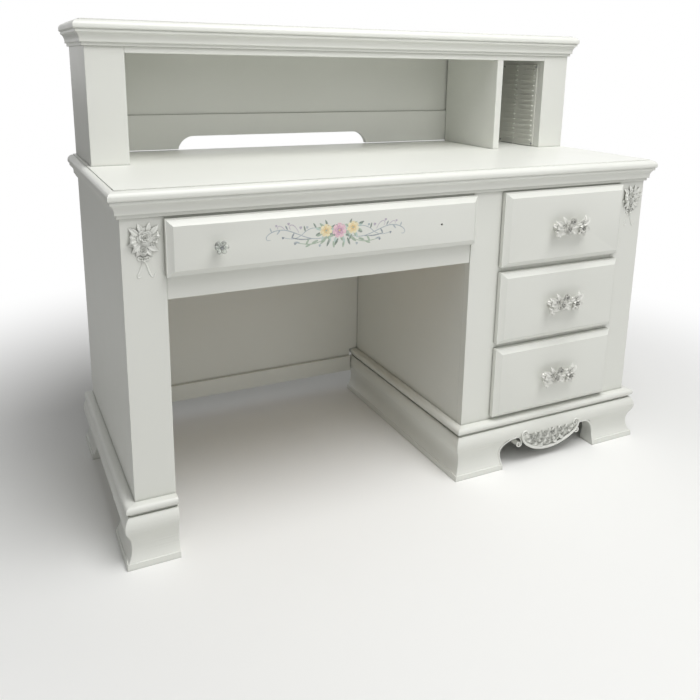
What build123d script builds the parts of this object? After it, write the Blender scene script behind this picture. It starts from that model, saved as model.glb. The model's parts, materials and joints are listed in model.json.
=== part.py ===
from build123d import *
from math import cos, radians, sin, sqrt
import os

os.makedirs("parts", exist_ok=True)

# Case of the desk, in millimetres
case_width = 1308
case_depth = 575
desk_height = 762
top_thickness = 21
top_overhang = 21
panel = 18
stile_thick = 20
back_thick = 12
leg_width = 82
pedestal_width = 529
pedestal_floor = 12
glue_line = 0.1

# Kneehole
kneehole_top = 544
kneehole_rail_inset = 2
modesty_low = 69
modesty_high = 115
modesty_thick = 10

# Bases: bracket feet with an ogee face under a torus bead
base_height = 112
base_board = 20
foot_spread = 26
side_foot = 138
rear_foot = 125
side_foot_top = 88
side_foot_corner = 12
bead_height = 22
block_width = 40
block_lift = 4

# Front apron of the pedestal, measured from its middle
arch_top = 77.5
arch_flat_half = 118
foot_edge_half = 149
foot_neck_half = 152.5
foot_shoulder_half = 143

# Drawers
front_thick = 21
front_gap = 1
lip_thick = 12
lip_step = 2
bevel_angle = 50
box_wall = 12
bottom_thick = 6
bottom_groove = 8
box_play = 3
runner_play = 0.5
side_front_width = 365
side_front_height = 178
side_front_pitch = 191
side_front_top = 704
side_overlap = 10
side_box_depth = 500
side_box_height = 140
centre_front_top = 703
centre_front_bottom = 591
centre_overlap_top = 7
centre_overlap_bottom = 9
centre_overlap_left = 2
centre_overlap_right = 3
centre_box_depth = 440
centre_box_height = 80

# Runners
ledge_thick = 14
ledge_width = 14
guide_thick = 17.5
guide_height = 40
centre_runner_width = 20
centre_runner_thick = 16

# Pulls, knob and their screws
pull_reach = 27
post_spread = 76
post_length = 13
post_radius = 4.5
post_root = 4
screw_radius = 2.5
shank_radius = 2.3
screw_head_radius = 4.5
screw_head_thick = 3
knob_offset = 252
knob_foot_radius, knob_foot = 8, 3
knob_neck_radius, knob_neck = 5.5, 9
knob_petals, petal_ring, petal_radius = 6, 9, 5.6
knob_head = 10
knob_cap_radius, knob_cap = 6.5, 2.5
nut_radius, nut_thick = 4.6, 4
knob_screw_radius = 3.8

# Hutch
hutch_depth = 257
hutch_height = 308
hutch_top_rail_height = 47
hutch_rail_thick = 15
hutch_back_thick = 8
divider_left = 412
divider_thick = 20
divider_round = 3
back_rail_height = 91
rail_gap = 3
cable_cut_left = -405
cable_cut_right = 140
cable_cut_rise = 36
cable_cut_corner = 42

# Disc racks
rack_setback = 26
rack_length = 151
rack_lift = 2
rack_rows = 17
rack_pitch = 14
rack_plate = 2
rib_depth = 4
rib_height = 3
rib_length = 58
rib_margin = 8
rack_screw_radius = 3
rack_screw_head = 1.5
rack_screw_inset_y, rack_screw_inset_z = 4, 6

# Planes of the case: +X right, +Y back, +Z up, floor at zero
LEFT = -case_width / 2
RIGHT = case_width / 2
total_depth = case_depth + front_gap + front_thick + pull_reach
BACK = total_depth / 2
FRONT = BACK - case_depth
KNEE_LEFT = LEFT + leg_width
KNEE_RIGHT = RIGHT - pedestal_width
PEDESTAL_MIDDLE = (KNEE_RIGHT + RIGHT) / 2
stile_back = FRONT + stile_thick
inner_back = BACK - back_thick
front_back = FRONT - front_gap
front_face = front_back - front_thick
case_top = desk_height - top_thickness
bead_top = base_height + bead_height
toe_front = FRONT - foot_spread


def finish(built, label):
    """Label one finished piece and write it as a STEP file."""
    built.part.label = label
    export_step(built.part, f"parts/{label}.step")


def slab(x0, x1, y0, y1, z0, z1):
    """One rectangular board between two corners."""
    with BuildPart() as board:
        with BuildSketch(Plane.XY.offset(z0)):
            with Locations(((x0 + x1) / 2, (y0 + y1) / 2)):
                Rectangle(x1 - x0, y1 - y0)
        extrude(amount=z1 - z0)
    return board


def boards(corners):
    """Several separate rectangular boards that share one node."""
    with BuildPart() as pieces:
        for x0, x1, y0, y1, z0, z1 in corners:
            with Locations(((x0 + x1) / 2, (y0 + y1) / 2, (z0 + z1) / 2)):
                Box(x1 - x0, y1 - y0, z1 - z0)
    return pieces


def group(parts):
    """Separate solids gathered in one node."""
    with BuildPart() as gathered:
        for item in parts:
            add(item.part)
    return gathered


# Ogee of the feet: a hollow waist that turns into a round belly where both arcs share a tangent.
# The outlines of the mouldings give the outward distance first and the height second.
toe_height = 13
toe_back = 24.5
waist_out, waist_z = 13, 44
bulge_out, bulge_z = 25.5, 90
waist_share = 0.638
rise = bulge_z - waist_z
step_out = bulge_out - waist_out
radius_sum = (step_out**2 + rise**2) / (2 * step_out)
waist_radius = waist_share * radius_sum
bulge_radius = radius_sum - waist_radius
turn_z = waist_z + rise * waist_share


def waist_at(z):
    return waist_out + waist_radius - sqrt(waist_radius**2 - (z - waist_z) ** 2)


def bulge_at(z):
    return bulge_out - bulge_radius + sqrt(bulge_radius**2 - (z - bulge_z) ** 2)


def ogee_section():
    """Bracket foot: toe, hollow waist, round belly, flat top."""
    lower = waist_at(toe_height)
    turn = waist_at(turn_z)
    upper = bulge_at(base_height)
    Polyline((upper, base_height), (-base_board, base_height), (-base_board, 0),
             (foot_spread, 0), (toe_back, toe_height), (lower, toe_height))
    ThreePointArc((lower, toe_height), (waist_out, waist_z), (turn, turn_z))
    ThreePointArc((turn, turn_z), (bulge_out, bulge_z), (upper, base_height))


def bead_section():
    """Torus bead over a small quirk."""
    quirk, roll, nose = 13, 14, 21.5
    low = base_height + 5
    Polyline((roll, bead_top), (0, bead_top), (0, base_height),
             (quirk, base_height), (quirk, low), (roll, low))
    ThreePointArc((roll, low), (nose, (low + bead_top) / 2), (roll, bead_top))


def cornice_section(top):
    """Cove under a board, with two fillets below it and one above."""
    fillet_out, step, cove_low, cove_high, rim = 5, 9, (9, 23), (15.5, 6), 17.5
    low = top - 33
    Polyline((rim, top), (0, top), (0, low), (fillet_out, low), (fillet_out, low + 7),
             (step, low + 7), (step, top - cove_low[1]))
    ThreePointArc((cove_low[0], top - cove_low[1]), (10.6, top - 13.5), (cove_high[0], top - cove_high[1]))
    Polyline((cove_high[0], top - cove_high[1]), (rim, top - cove_high[1]), (rim, top))


def mitre(x, y, turn, shift):
    """Upright 45 degree plane through a front corner, moved along X by half the glue line."""
    return Plane(origin=(x + shift, y, 0), z_dir=(turn, -1, 0))


# Spare length of a moulding past its corner, before the mitre is cut
mitre_reach = 60


def front_run(section, x0, x1, face, cut_left, cut_right):
    """Moulding along X on a face that looks forward, mitred at the ends that ask for it."""
    end = x1 + mitre_reach * cut_right
    with BuildPart() as run:
        with BuildSketch(Plane(origin=(end, face, 0), x_dir=(0, -1, 0), z_dir=(-1, 0, 0))):
            with BuildLine():
                section()
            make_face()
        extrude(amount=x1 - x0 + mitre_reach * (cut_left + cut_right))
        if cut_left:
            split(bisect_by=mitre(x0, face, 1, glue_line / 2), keep=Keep.TOP)
        if cut_right:
            split(bisect_by=mitre(x1, face, -1, -glue_line / 2), keep=Keep.TOP)
    return run


def side_run(section, plane_x, side, y0, y1):
    """Moulding along Y on a face that looks left (side -1) or right (side 1), mitred in front."""
    start = y0 - mitre_reach if side < 0 else y1
    with BuildPart() as run:
        with BuildSketch(Plane(origin=(plane_x, start, 0), x_dir=(side, 0, 0), z_dir=(0, -side, 0))):
            with BuildLine():
                section()
            make_face()
        extrude(amount=y1 - y0 + mitre_reach)
        split(bisect_by=mitre(plane_x, y0, -side, side * glue_line / 2), keep=Keep.BOTTOM)
    return run


def thumbnail_waste():
    """Waste outside the thumbnail edge, from the flat of the top down to the nose."""
    flat_edge, quirk_z, nose_z, round_low = 14, top_thickness - 2, 9, 4
    spare = 2
    Polyline((flat_edge, top_thickness + spare), (flat_edge, quirk_z))
    ThreePointArc((flat_edge, quirk_z), (4.5, top_thickness - 5), (0, nose_z))
    Line((0, nose_z), (0, round_low))
    ThreePointArc((0, round_low), (1.2, 1.2), (round_low, 0))
    Polyline((round_low, 0), (round_low, -spare), (-spare, -spare), (-spare, top_thickness + spare),
             (flat_edge, top_thickness + spare))


def moulded_top(x0, x1, y0, y1, z0):
    """Board with a thumbnail edge on the front and both ends, square at the back."""
    spare = 5
    edges = (
        (Plane(origin=(x1 + spare, y0, z0), x_dir=(0, 1, 0), z_dir=(1, 0, 0)), x1 - x0),
        (Plane(origin=(x0, y0 - spare, z0), x_dir=(1, 0, 0), z_dir=(0, -1, 0)), y1 - y0),
        (Plane(origin=(x1, y1 + spare, z0), x_dir=(-1, 0, 0), z_dir=(0, 1, 0)), y1 - y0),
    )
    with BuildPart() as board:
        with BuildSketch(Plane.XY.offset(z0)):
            with Locations(((x0 + x1) / 2, (y0 + y1) / 2)):
                Rectangle(x1 - x0, y1 - y0)
        extrude(amount=top_thickness)
        for plane, length in edges:
            with BuildSketch(plane):
                with BuildLine():
                    thumbnail_waste()
                make_face()
            extrude(amount=-(length + 2 * spare), mode=Mode.SUBTRACT)
    return board


def cornice(face, top):
    """Cornice on the front and both ends, under a board whose lower face is at top."""
    def section():
        cornice_section(top)

    return group([
        front_run(section, LEFT, RIGHT, face, 1, 1),
        side_run(section, LEFT, -1, face, BACK),
        side_run(section, RIGHT, 1, face, BACK),
    ])


# Desk top and the cornice under it
top_left = LEFT - top_overhang
top_right = RIGHT + top_overhang
finish(moulded_top(top_left, top_right, FRONT - top_overhang, BACK, case_top), "desk_top")
finish(cornice(FRONT, case_top), "cornice")

# Carcass panels, stiles and rails
opening_left = PEDESTAL_MIDDLE - side_front_width / 2 + side_overlap
opening_right = PEDESTAL_MIDDLE + side_front_width / 2 - side_overlap
pedestal_left = KNEE_RIGHT + panel
pedestal_right = RIGHT - panel
upright_pieces = {
    "left_end_panel": (LEFT, LEFT + panel, stile_back, BACK),
    "left_inner_panel": (KNEE_LEFT - panel, KNEE_LEFT, stile_back, inner_back),
    "right_end_panel": (pedestal_right, RIGHT, stile_back, BACK),
    "pedestal_inner_panel": (KNEE_RIGHT, pedestal_left, stile_back, BACK),
    "left_stile": (LEFT, KNEE_LEFT, FRONT, stile_back),
    "pedestal_left_stile": (KNEE_RIGHT, opening_left, FRONT, stile_back),
    "right_stile": (opening_right, RIGHT, FRONT, stile_back),
    "pedestal_back": (pedestal_left, pedestal_right, inner_back, BACK),
}
for name, (x0, x1, y0, y1) in upright_pieces.items():
    finish(slab(x0, x1, y0, y1, base_height, case_top), name)
finish(slab(pedestal_left, pedestal_right, stile_back, inner_back, base_height, base_height + pedestal_floor),
       "pedestal_bottom")

centre_opening_top = centre_front_top - centre_overlap_top
centre_opening_bottom = centre_front_bottom + centre_overlap_bottom
finish(boards([
    (KNEE_LEFT, KNEE_RIGHT, FRONT, stile_back, centre_opening_top, case_top),
    (opening_left, opening_right, FRONT, stile_back, side_front_top - side_overlap, case_top),
]), "top_rails")
finish(slab(KNEE_LEFT, KNEE_RIGHT, FRONT + kneehole_rail_inset, stile_back,
            kneehole_top, centre_opening_bottom), "kneehole_rail")

side_tops = [side_front_top - side_front_pitch * i for i in range(3)]
side_openings = [(top - side_front_height + side_overlap, top - side_overlap) for top in side_tops]
rail_spans = [
    (side_openings[1][1], side_openings[0][0]),
    (side_openings[2][1], side_openings[1][0]),
    (base_height, side_openings[2][0]),
]
finish(boards([(opening_left, opening_right, FRONT, stile_back, z0, z1) for z0, z1 in rail_spans]),
       "drawer_rails")

# Back of the kneehole: it also closes the leg, and is notched over the base of the pedestal
base_edge = KNEE_RIGHT - foot_spread
with BuildPart() as kneehole_back:
    with BuildSketch(Plane.XZ.offset(-BACK)):
        with BuildLine():
            Polyline((LEFT + panel, base_height), (KNEE_LEFT, base_height), (KNEE_LEFT, modesty_low),
                     (base_edge, modesty_low), (base_edge, bead_top), (KNEE_RIGHT, bead_top),
                     (KNEE_RIGHT, case_top), (LEFT + panel, case_top), close=True)
        make_face()
    extrude(amount=back_thick)
finish(kneehole_back, "kneehole_back")
finish(slab(KNEE_LEFT, base_edge, inner_back - modesty_thick, inner_back, modesty_low, modesty_high),
       "modesty_rail")

# Runners: ledges of the centre drawer on the kneehole sides, and L-shaped guides in the pedestal
centre_ledge = centre_opening_bottom + box_play
ledge_span = (stile_back, inner_back, centre_ledge - centre_runner_thick, centre_ledge)
finish(boards([
    (KNEE_LEFT, KNEE_LEFT + centre_runner_width, *ledge_span),
    (KNEE_RIGHT - centre_runner_width, KNEE_RIGHT, *ledge_span),
]), "centre_drawer_runners")

with BuildPart() as side_runners:
    for low, high in side_openings:
        ledge = low + box_play
        for edge, way in ((opening_left, 1), (opening_right, -1)):
            wall = edge - runner_play * way
            outer = wall - guide_thick * way
            inner = edge + ledge_width * way
            with BuildSketch(Plane.XZ.offset(-stile_back)):
                with BuildLine():
                    Polyline((outer, ledge - ledge_thick), (inner, ledge - ledge_thick), (inner, ledge),
                             (wall, ledge), (wall, ledge + guide_height), (outer, ledge + guide_height),
                             close=True)
                make_face()
            extrude(amount=-(inner_back - stile_back))
finish(side_runners, "side_drawer_runners")


def bracket_side(plane_x, side):
    """Side board of a base, cut away between its two feet."""
    y0, y1 = toe_front + side_foot, BACK - rear_foot
    corner = side_foot_corner
    clear = 4 * base_board
    with BuildPart() as cut:
        add(side_run(ogee_section, plane_x, side, FRONT, BACK).part)
        with BuildSketch(Plane.YZ.offset(plane_x - clear)):
            with BuildLine():
                Polyline((y0, -1), (y0, side_foot_top - corner), (y0 + corner, side_foot_top),
                         (y1 - corner, side_foot_top), (y1, side_foot_top - corner), (y1, -1), close=True)
            make_face()
        extrude(amount=2 * clear, mode=Mode.SUBTRACT)
    return cut


finish(front_run(ogee_section, LEFT, KNEE_LEFT, FRONT, 1, 0), "left_base_front")
finish(bracket_side(LEFT, -1), "left_base_side")
finish(bracket_side(RIGHT, 1), "pedestal_base_side")
finish(side_run(ogee_section, KNEE_RIGHT, -1, FRONT, BACK), "pedestal_base_inner")
finish(boards([
    (LEFT + base_board, KNEE_LEFT, BACK - base_board, BACK, 0, base_height),
    (KNEE_RIGHT + base_board, RIGHT - base_board, BACK - base_board, BACK, 0, base_height),
]), "base_back_boards")

# Front apron of the pedestal: waisted inner edges of the feet, arches, and a flat over the carved drop
neck_z, shoulder_z, foot_heel = 38, 60, 8
with BuildPart() as apron:
    add(front_run(ogee_section, KNEE_RIGHT, RIGHT, FRONT, 1, 1).part)
    with BuildSketch(Plane.XZ.offset(-FRONT - 2 * base_board)):
        with BuildLine():
            for way in (-1, 1):
                edge = PEDESTAL_MIDDLE + foot_edge_half * way
                neck = PEDESTAL_MIDDLE + foot_neck_half * way
                shoulder = PEDESTAL_MIDDLE + foot_shoulder_half * way
                flat = PEDESTAL_MIDDLE + arch_flat_half * way
                Line((edge, -1), (edge, foot_heel))
                Spline((edge, foot_heel), (neck, neck_z), (shoulder, shoulder_z), (flat, arch_top),
                       tangents=((0, 1), (-way, 0)))
            Line((PEDESTAL_MIDDLE - arch_flat_half, arch_top), (PEDESTAL_MIDDLE + arch_flat_half, arch_top))
            Line((PEDESTAL_MIDDLE - foot_edge_half, -1), (PEDESTAL_MIDDLE + foot_edge_half, -1))
        make_face()
    extrude(amount=4 * base_board, mode=Mode.SUBTRACT)
finish(apron, "pedestal_base_front")

finish(group([
    front_run(bead_section, LEFT, KNEE_LEFT, FRONT, 1, 0),
    side_run(bead_section, LEFT, -1, FRONT, BACK),
    front_run(bead_section, KNEE_RIGHT, RIGHT, FRONT, 1, 1),
    side_run(bead_section, KNEE_RIGHT, -1, FRONT, BACK),
    side_run(bead_section, RIGHT, 1, FRONT, BACK),
]), "base_bead")

# Glue blocks in the corners of both bases
block_places = [
    (x, y)
    for x in (LEFT + base_board, KNEE_RIGHT + base_board, RIGHT - base_board - block_width)
    for y in (stile_back, BACK - base_board - block_width)
]
finish(boards([(x, x + block_width, y, y + block_width, block_lift, base_height) for x, y in block_places]),
       "foot_blocks")


def drawer_front(x0, x1, z0, z1, holes):
    """Front with a square lip, a small step and a bevel up to the flat field."""
    centre = ((x0 + x1) / 2, (z0 + z1) / 2)
    with BuildPart() as front:
        with BuildSketch(Plane.XZ.offset(-front_back)):
            with Locations(centre):
                Rectangle(x1 - x0, z1 - z0)
        extrude(amount=lip_thick)
        with BuildSketch(Plane.XZ.offset(lip_thick - front_back)):
            with Locations(centre):
                Rectangle(x1 - x0 - 2 * lip_step, z1 - z0 - 2 * lip_step)
        extrude(amount=front_thick - lip_thick, taper=bevel_angle)
        with BuildSketch(Plane.XZ.offset(-front_back)):
            with Locations(*holes):
                Circle(screw_radius)
        extrude(amount=front_thick, mode=Mode.SUBTRACT)
    return front


def drawer_box(x0, x1, z0, height, depth, holes):
    """Front, back and two sides, each a board of its own, kept a glue line apart."""
    y0 = front_back
    y1 = y0 + depth
    left_wall = x0 + box_wall
    right_wall = x1 - box_wall
    with BuildPart() as box:
        for xa, xb, ya, yb in (
            (x0, left_wall, y0, y1),
            (right_wall, x1, y0, y1),
            (left_wall + glue_line, right_wall - glue_line, y0, y0 + box_wall),
            (left_wall + glue_line, right_wall - glue_line, y1 - box_wall, y1),
        ):
            with Locations(((xa + xb) / 2, (ya + yb) / 2, z0 + height / 2)):
                Box(xb - xa, yb - ya, height)
        with BuildSketch(Plane.XZ.offset(-y0)):
            with Locations(*holes):
                Circle(screw_radius)
        extrude(amount=-box_wall, mode=Mode.SUBTRACT)
    return box


def drawer_bottom(x0, x1, z0, depth):
    """Thin board between the four walls of a box."""
    low = z0 + bottom_groove
    return slab(x0 + box_wall, x1 - box_wall, front_back + box_wall, front_back + depth - box_wall,
                low, low + bottom_thick)


def disc(plane, places, radius, depth):
    """Round stock from a plane, at one place or at several."""
    with BuildSketch(plane) as outline:
        with Locations(*places):
            Circle(radius)
    extrude(outline.sketch, amount=depth)


def rose(x, z, radius, y, depth, turn):
    """Open rose raised towards the front: three tiers of petals round a bud."""
    tiers = ((1.0, 0.38, 5), (0.74, 0.28, 5), (0.46, 0.2, 3))
    tier_turn, core, petal, ring, bud_radius, bud_share = 31, 0.62, 0.5, 0.5, 0.24, 0.14
    for step, (ratio, share, petals) in enumerate(tiers):
        reach = radius * ratio
        with BuildSketch(Plane.XZ.offset(-y)) as tier:
            with Locations((x, z)):
                Circle(reach * core)
                with PolarLocations(reach * ring, petals, start_angle=turn + tier_turn * step):
                    Circle(reach * petal)
        extrude(tier.sketch, amount=depth * share)
        y -= depth * share
    disc(Plane.XZ.offset(-y), [(x, z)], radius * bud_radius, depth * bud_share)


def leaf(x, z, length, width, angle, y, depth):
    """Pointed leaf from its stalk outwards."""
    way = Vector(cos(radians(angle)), sin(radians(angle)))
    across = Vector(-way.Y, way.X)
    root = Vector(x, z)
    tip = root + way * length
    widest = root + way * length * 0.45
    with BuildSketch(Plane.XZ.offset(-y)) as blade:
        with BuildLine():
            ThreePointArc(root, widest + across * width / 2, tip)
            ThreePointArc(tip, widest - across * width / 2, root)
        make_face()
    extrude(blade.sketch, amount=depth)


# Cast pull: a spray of roses and leaves on two posts, with its screws from inside the drawer.
# Roses are x, z, radius, depth, turn from the middle of the pull; leaves x, z, length, width, angle, depth.
pull_roses = (
    (-10, -3, 18, 14, 10),
    (5, 14, 9.5, 9, 40),
    (32, -5, 14, 11, 70),
)
pull_leaves = (
    (-6, -3, 36, 13, 0, 5),
    (-20, 2, 34, 15, 158, 6),
    (-24, -4, 26, 13, 128, 5),
    (-14, -4, 50, 15, 198, 7),
    (-34, -6, 22, 12, 232, 8),
    (30, -2, 34, 14, 42, 6),
    (28, -2, 36, 14, 12, 7),
    (36, -6, 24, 13, 330, 6),
    (-2, -8, 30, 13, 336, 6),
    (-14, 2, 24, 12, 112, 5),
)
box_inside = front_back + box_wall


def rose_pull(x, z, label):
    casting_back = front_face - post_length
    posts = [(x - post_spread / 2, z), (x + post_spread / 2, z)]
    with BuildPart() as casting:
        for dx, dz, radius, depth, turn in pull_roses:
            rose(x + dx, z + dz, radius, casting_back, depth, turn)
        for dx, dz, length, width, angle, depth in pull_leaves:
            leaf(x + dx, z + dz, length, width, angle, casting_back, depth)
        disc(Plane.XZ.offset(-front_face), posts, post_radius, post_length + post_root)
    with BuildPart() as screws:
        disc(Plane.XZ.offset(-box_inside), posts, screw_head_radius, -screw_head_thick)
        disc(Plane.XZ.offset(-box_inside), posts, shank_radius, box_wall + front_thick - glue_line)
    finish(group([casting, screws]), label)


# Three side drawers
side_x0 = PEDESTAL_MIDDLE - side_front_width / 2
side_x1 = PEDESTAL_MIDDLE + side_front_width / 2
box_x0 = opening_left + box_play
box_x1 = opening_right - box_play
for name, top, (low, high) in zip(("top", "middle", "bottom"), side_tops, side_openings):
    middle = top - side_front_height / 2
    holes = [(PEDESTAL_MIDDLE - post_spread / 2, middle), (PEDESTAL_MIDDLE + post_spread / 2, middle)]
    box_z = low + box_play + runner_play
    finish(drawer_front(side_x0, side_x1, top - side_front_height, top, holes), f"{name}_drawer_front")
    finish(drawer_box(box_x0, box_x1, box_z, side_box_height, side_box_depth, holes), f"{name}_drawer_box")
    finish(drawer_bottom(box_x0, box_x1, box_z, side_box_depth), f"{name}_drawer_bottom")
    rose_pull(PEDESTAL_MIDDLE, middle, f"{name}_drawer_pull")

# Centre drawer: a flower-shaped knob on the left, and a bare screw hole on the right
centre_x = (KNEE_LEFT + KNEE_RIGHT) / 2
centre_z = (centre_front_top + centre_front_bottom) / 2
centre_box_x0 = KNEE_LEFT + box_play
centre_box_x1 = KNEE_RIGHT - box_play
centre_box_z = centre_ledge + runner_play
knob_place = (centre_x - knob_offset, centre_z)
knob_holes = [knob_place, (centre_x + knob_offset, centre_z)]
finish(drawer_front(KNEE_LEFT - centre_overlap_left, KNEE_RIGHT + centre_overlap_right,
                    centre_front_bottom, centre_front_top, knob_holes), "centre_drawer_front")
finish(drawer_box(centre_box_x0, centre_box_x1, centre_box_z, centre_box_height,
                  centre_box_depth, knob_holes), "centre_drawer_box")
finish(drawer_bottom(centre_box_x0, centre_box_x1, centre_box_z, centre_box_depth), "centre_drawer_bottom")

knob_head_at = knob_foot + knob_neck
knob_cap_at = knob_head_at + knob_head
knob_end = knob_cap_at + knob_cap
with BuildPart() as knob:
    disc(Plane.XZ.offset(-front_face), [knob_place], knob_foot_radius, knob_foot)
    disc(Plane.XZ.offset(knob_foot - front_face), [knob_place], knob_neck_radius, knob_neck)
    with BuildSketch(Plane.XZ.offset(knob_head_at - front_face)):
        with Locations(knob_place):
            Circle(petal_ring)
            with PolarLocations(petal_ring, knob_petals):
                Circle(petal_radius)
    extrude(amount=knob_head)
    disc(Plane.XZ.offset(knob_cap_at - front_face), [knob_place], knob_cap_radius, knob_cap)
    with BuildSketch(Plane.XZ.offset(-front_face)):
        with Locations(knob_place):
            Circle(screw_radius)
    extrude(amount=knob_end, mode=Mode.SUBTRACT)
finish(knob, "knob")

with BuildPart() as knob_screw:
    disc(Plane.XZ.offset(knob_end - front_face), [knob_place], knob_screw_radius, pull_reach - knob_end)
    disc(Plane.XZ.offset(-box_inside - nut_thick), [knob_place], shank_radius,
         nut_thick + box_wall + front_thick + knob_end)
    with BuildSketch(Plane.XZ.offset(-box_inside)):
        with Locations(knob_place):
            RegularPolygon(nut_radius, 6)
    extrude(amount=-nut_thick)
finish(knob_screw, "knob_screw")

# Carved drop under the apron: a scrolled cup of flowers between the two arches
drop_half = 97
belly_z, belly_half, rim_z = 24.5, 92, 66
rim_rise, rim_width = 7, 8
relief_out, belly_out = 25.6, 17
drop_root = 4
upper_volute, upper_volute_z, upper_volute_radius, upper_eye_radius = 83, 83, 11, 6
lower_volute, lower_volute_z, lower_volute_radius = 96, 55, 9
drop_flowers = ((-52, 8), (-34, 10), (-12, 12), (12, 11), (34, 10), (52, 8))
flower_z, flower_rise, flower_base, flower_depth = 68, 0.22, 18, 12
left_rim = (PEDESTAL_MIDDLE - belly_half, rim_z)
right_rim = (PEDESTAL_MIDDLE + belly_half, rim_z)
left_lip = (left_rim[0] + rim_rise, rim_z + rim_rise)
right_lip = (right_rim[0] - rim_rise, rim_z + rim_rise)
with BuildPart() as drop:
    with BuildSketch(Plane.YZ.offset(PEDESTAL_MIDDLE - drop_half)):
        with BuildLine():
            Polyline((FRONT + drop_root, arch_top), (FRONT - relief_out, arch_top),
                     (FRONT - relief_out, rim_z), (FRONT - belly_out, belly_z - 6),
                     (FRONT + drop_root, belly_z - 6), close=True)
        make_face()
    extrude(amount=2 * drop_half)
    with BuildSketch(Plane.XZ.offset(-FRONT - 2 * drop_root)):
        with BuildLine():
            ThreePointArc(left_rim, (PEDESTAL_MIDDLE, belly_z), right_rim)
            Polyline(right_rim, (PEDESTAL_MIDDLE + drop_half, arch_top),
                     (PEDESTAL_MIDDLE - drop_half, arch_top), left_rim)
        make_face()
    extrude(amount=2 * (relief_out + drop_root), mode=Mode.INTERSECT)
    with BuildSketch(Plane.XZ.offset(-FRONT)):
        with BuildLine():
            ThreePointArc(left_rim, (PEDESTAL_MIDDLE, belly_z), right_rim)
            Line(right_rim, right_lip)
            ThreePointArc(right_lip, (PEDESTAL_MIDDLE, belly_z + rim_width), left_lip)
            Line(left_lip, left_rim)
        make_face()
    extrude(amount=belly_out + drop_root)
    for way in (-1, 1):
        upper = (PEDESTAL_MIDDLE + upper_volute * way, upper_volute_z)
        lower = (PEDESTAL_MIDDLE + lower_volute * way, lower_volute_z)
        disc(Plane.XZ.offset(relief_out - FRONT), [upper], upper_volute_radius, 3)
        disc(Plane.XZ.offset(relief_out + 3 - FRONT), [upper], upper_eye_radius, 2)
        disc(Plane.XZ.offset(-FRONT - drop_root), [lower], lower_volute_radius, belly_out + 2)
        with BuildSketch(Plane.XZ.offset(-FRONT - drop_root)):
            with BuildLine():
                Polyline((lower[0] - 14 * way, 64), (lower[0] - 8 * way, arch_top),
                         (lower[0] + 22 * way, arch_top), (lower[0] + 9 * way, rim_z),
                         (lower[0] + 6 * way, lower_volute_z), (lower[0] - 8 * way, lower_volute_z),
                         close=True)
            make_face()
        extrude(amount=belly_out + 2)
    for offset, radius in drop_flowers:
        sink = (drop_flowers[-1][0] - abs(offset)) * flower_rise
        rose(PEDESTAL_MIDDLE + offset, flower_z - sink, radius, FRONT - flower_base, flower_depth, offset)
finish(drop, "apron_carving")

# Carved bouquets on the outer stiles: roses over leaves, a knot and two ribbon tails.
# Roses are x, z, radius, depth, turn and leaves z, length, width, angle from the heart of the bouquet.
bouquet_heart = 662
bouquet_roses = (
    (0, 6, 15, 9, 18),
    (-19, 4, 9, 6, 40),
    (19, 6, 9, 6, 0),
    (-3, -18, 9, 8, 60),
)
bouquet_leaves = (
    (0, 34, 15, 160),
    (0, 32, 15, 130),
    (0, 26, 15, 95),
    (0, 32, 15, 50),
    (0, 34, 15, 20),
    (0, 30, 15, 205),
    (0, 30, 15, 335),
    (4, 42, 22, 255),
    (4, 42, 22, 285),
)
leaf_depth, knot_radius, knot_depth, tail_depth = 4, 6, 6, 2.5
knot_drop = 34


def bouquet(x):
    knot_z = bouquet_heart - knot_drop
    with BuildPart() as carving:
        for dx, dz, radius, depth, turn in bouquet_roses:
            rose(x + dx, bouquet_heart + dz, radius, FRONT, depth, turn)
        for dz, length, width, angle in bouquet_leaves:
            leaf(x, bouquet_heart + dz, length, width, angle, FRONT, leaf_depth)
        disc(Plane.XZ.offset(-FRONT), [(x, knot_z)], knot_radius, knot_depth)
        for way in (-1, 1):
            with BuildSketch(Plane.XZ.offset(-FRONT)):
                with BuildLine():
                    Polyline((x - 2 * way, knot_z), (x + 3 * way, knot_z), (x + 12 * way, knot_z - 24),
                             (x + 17 * way, knot_z - 28), (x + 13 * way, knot_z - 32),
                             (x + 7 * way, knot_z - 26), close=True)
                make_face()
            extrude(amount=tail_depth)
    return carving


finish(group([bouquet(LEFT + leg_width / 2), bouquet(RIGHT - leg_width / 2)]), "stile_carvings")

# Hutch: two posts of side, stile and inner wall, with a top rail, cornice and moulded top
hutch_front = BACK - hutch_depth
hutch_ceiling = desk_height + hutch_height - top_thickness
hutch_inner_back = BACK - hutch_rail_thick
hutch_stile_back = hutch_front + stile_thick
hutch_rail_low = hutch_ceiling - hutch_top_rail_height
bay_left = LEFT + leg_width
bay_right = RIGHT - leg_width
hutch_posts = {
    "hutch_left_side": (LEFT, LEFT + panel, hutch_stile_back, BACK),
    "hutch_right_side": (RIGHT - panel, RIGHT, hutch_stile_back, BACK),
    "hutch_left_stile": (LEFT, bay_left, hutch_front, hutch_stile_back),
    "hutch_right_stile": (bay_right, RIGHT, hutch_front, hutch_stile_back),
}
for name, (x0, x1, y0, y1) in hutch_posts.items():
    finish(slab(x0, x1, y0, y1, desk_height, hutch_ceiling), name)
finish(boards([
    (bay_left - panel, bay_left, hutch_stile_back, hutch_inner_back, desk_height, hutch_ceiling),
    (bay_right, bay_right + panel, hutch_stile_back, hutch_inner_back, desk_height, hutch_ceiling),
]), "hutch_inner_walls")
finish(slab(bay_left, bay_right, hutch_front, hutch_stile_back, hutch_rail_low, hutch_ceiling),
       "hutch_top_rail")
finish(moulded_top(top_left, top_right, hutch_front - top_overhang, BACK, hutch_ceiling), "hutch_top")
finish(cornice(hutch_front, hutch_ceiling), "hutch_cornice")

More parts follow.
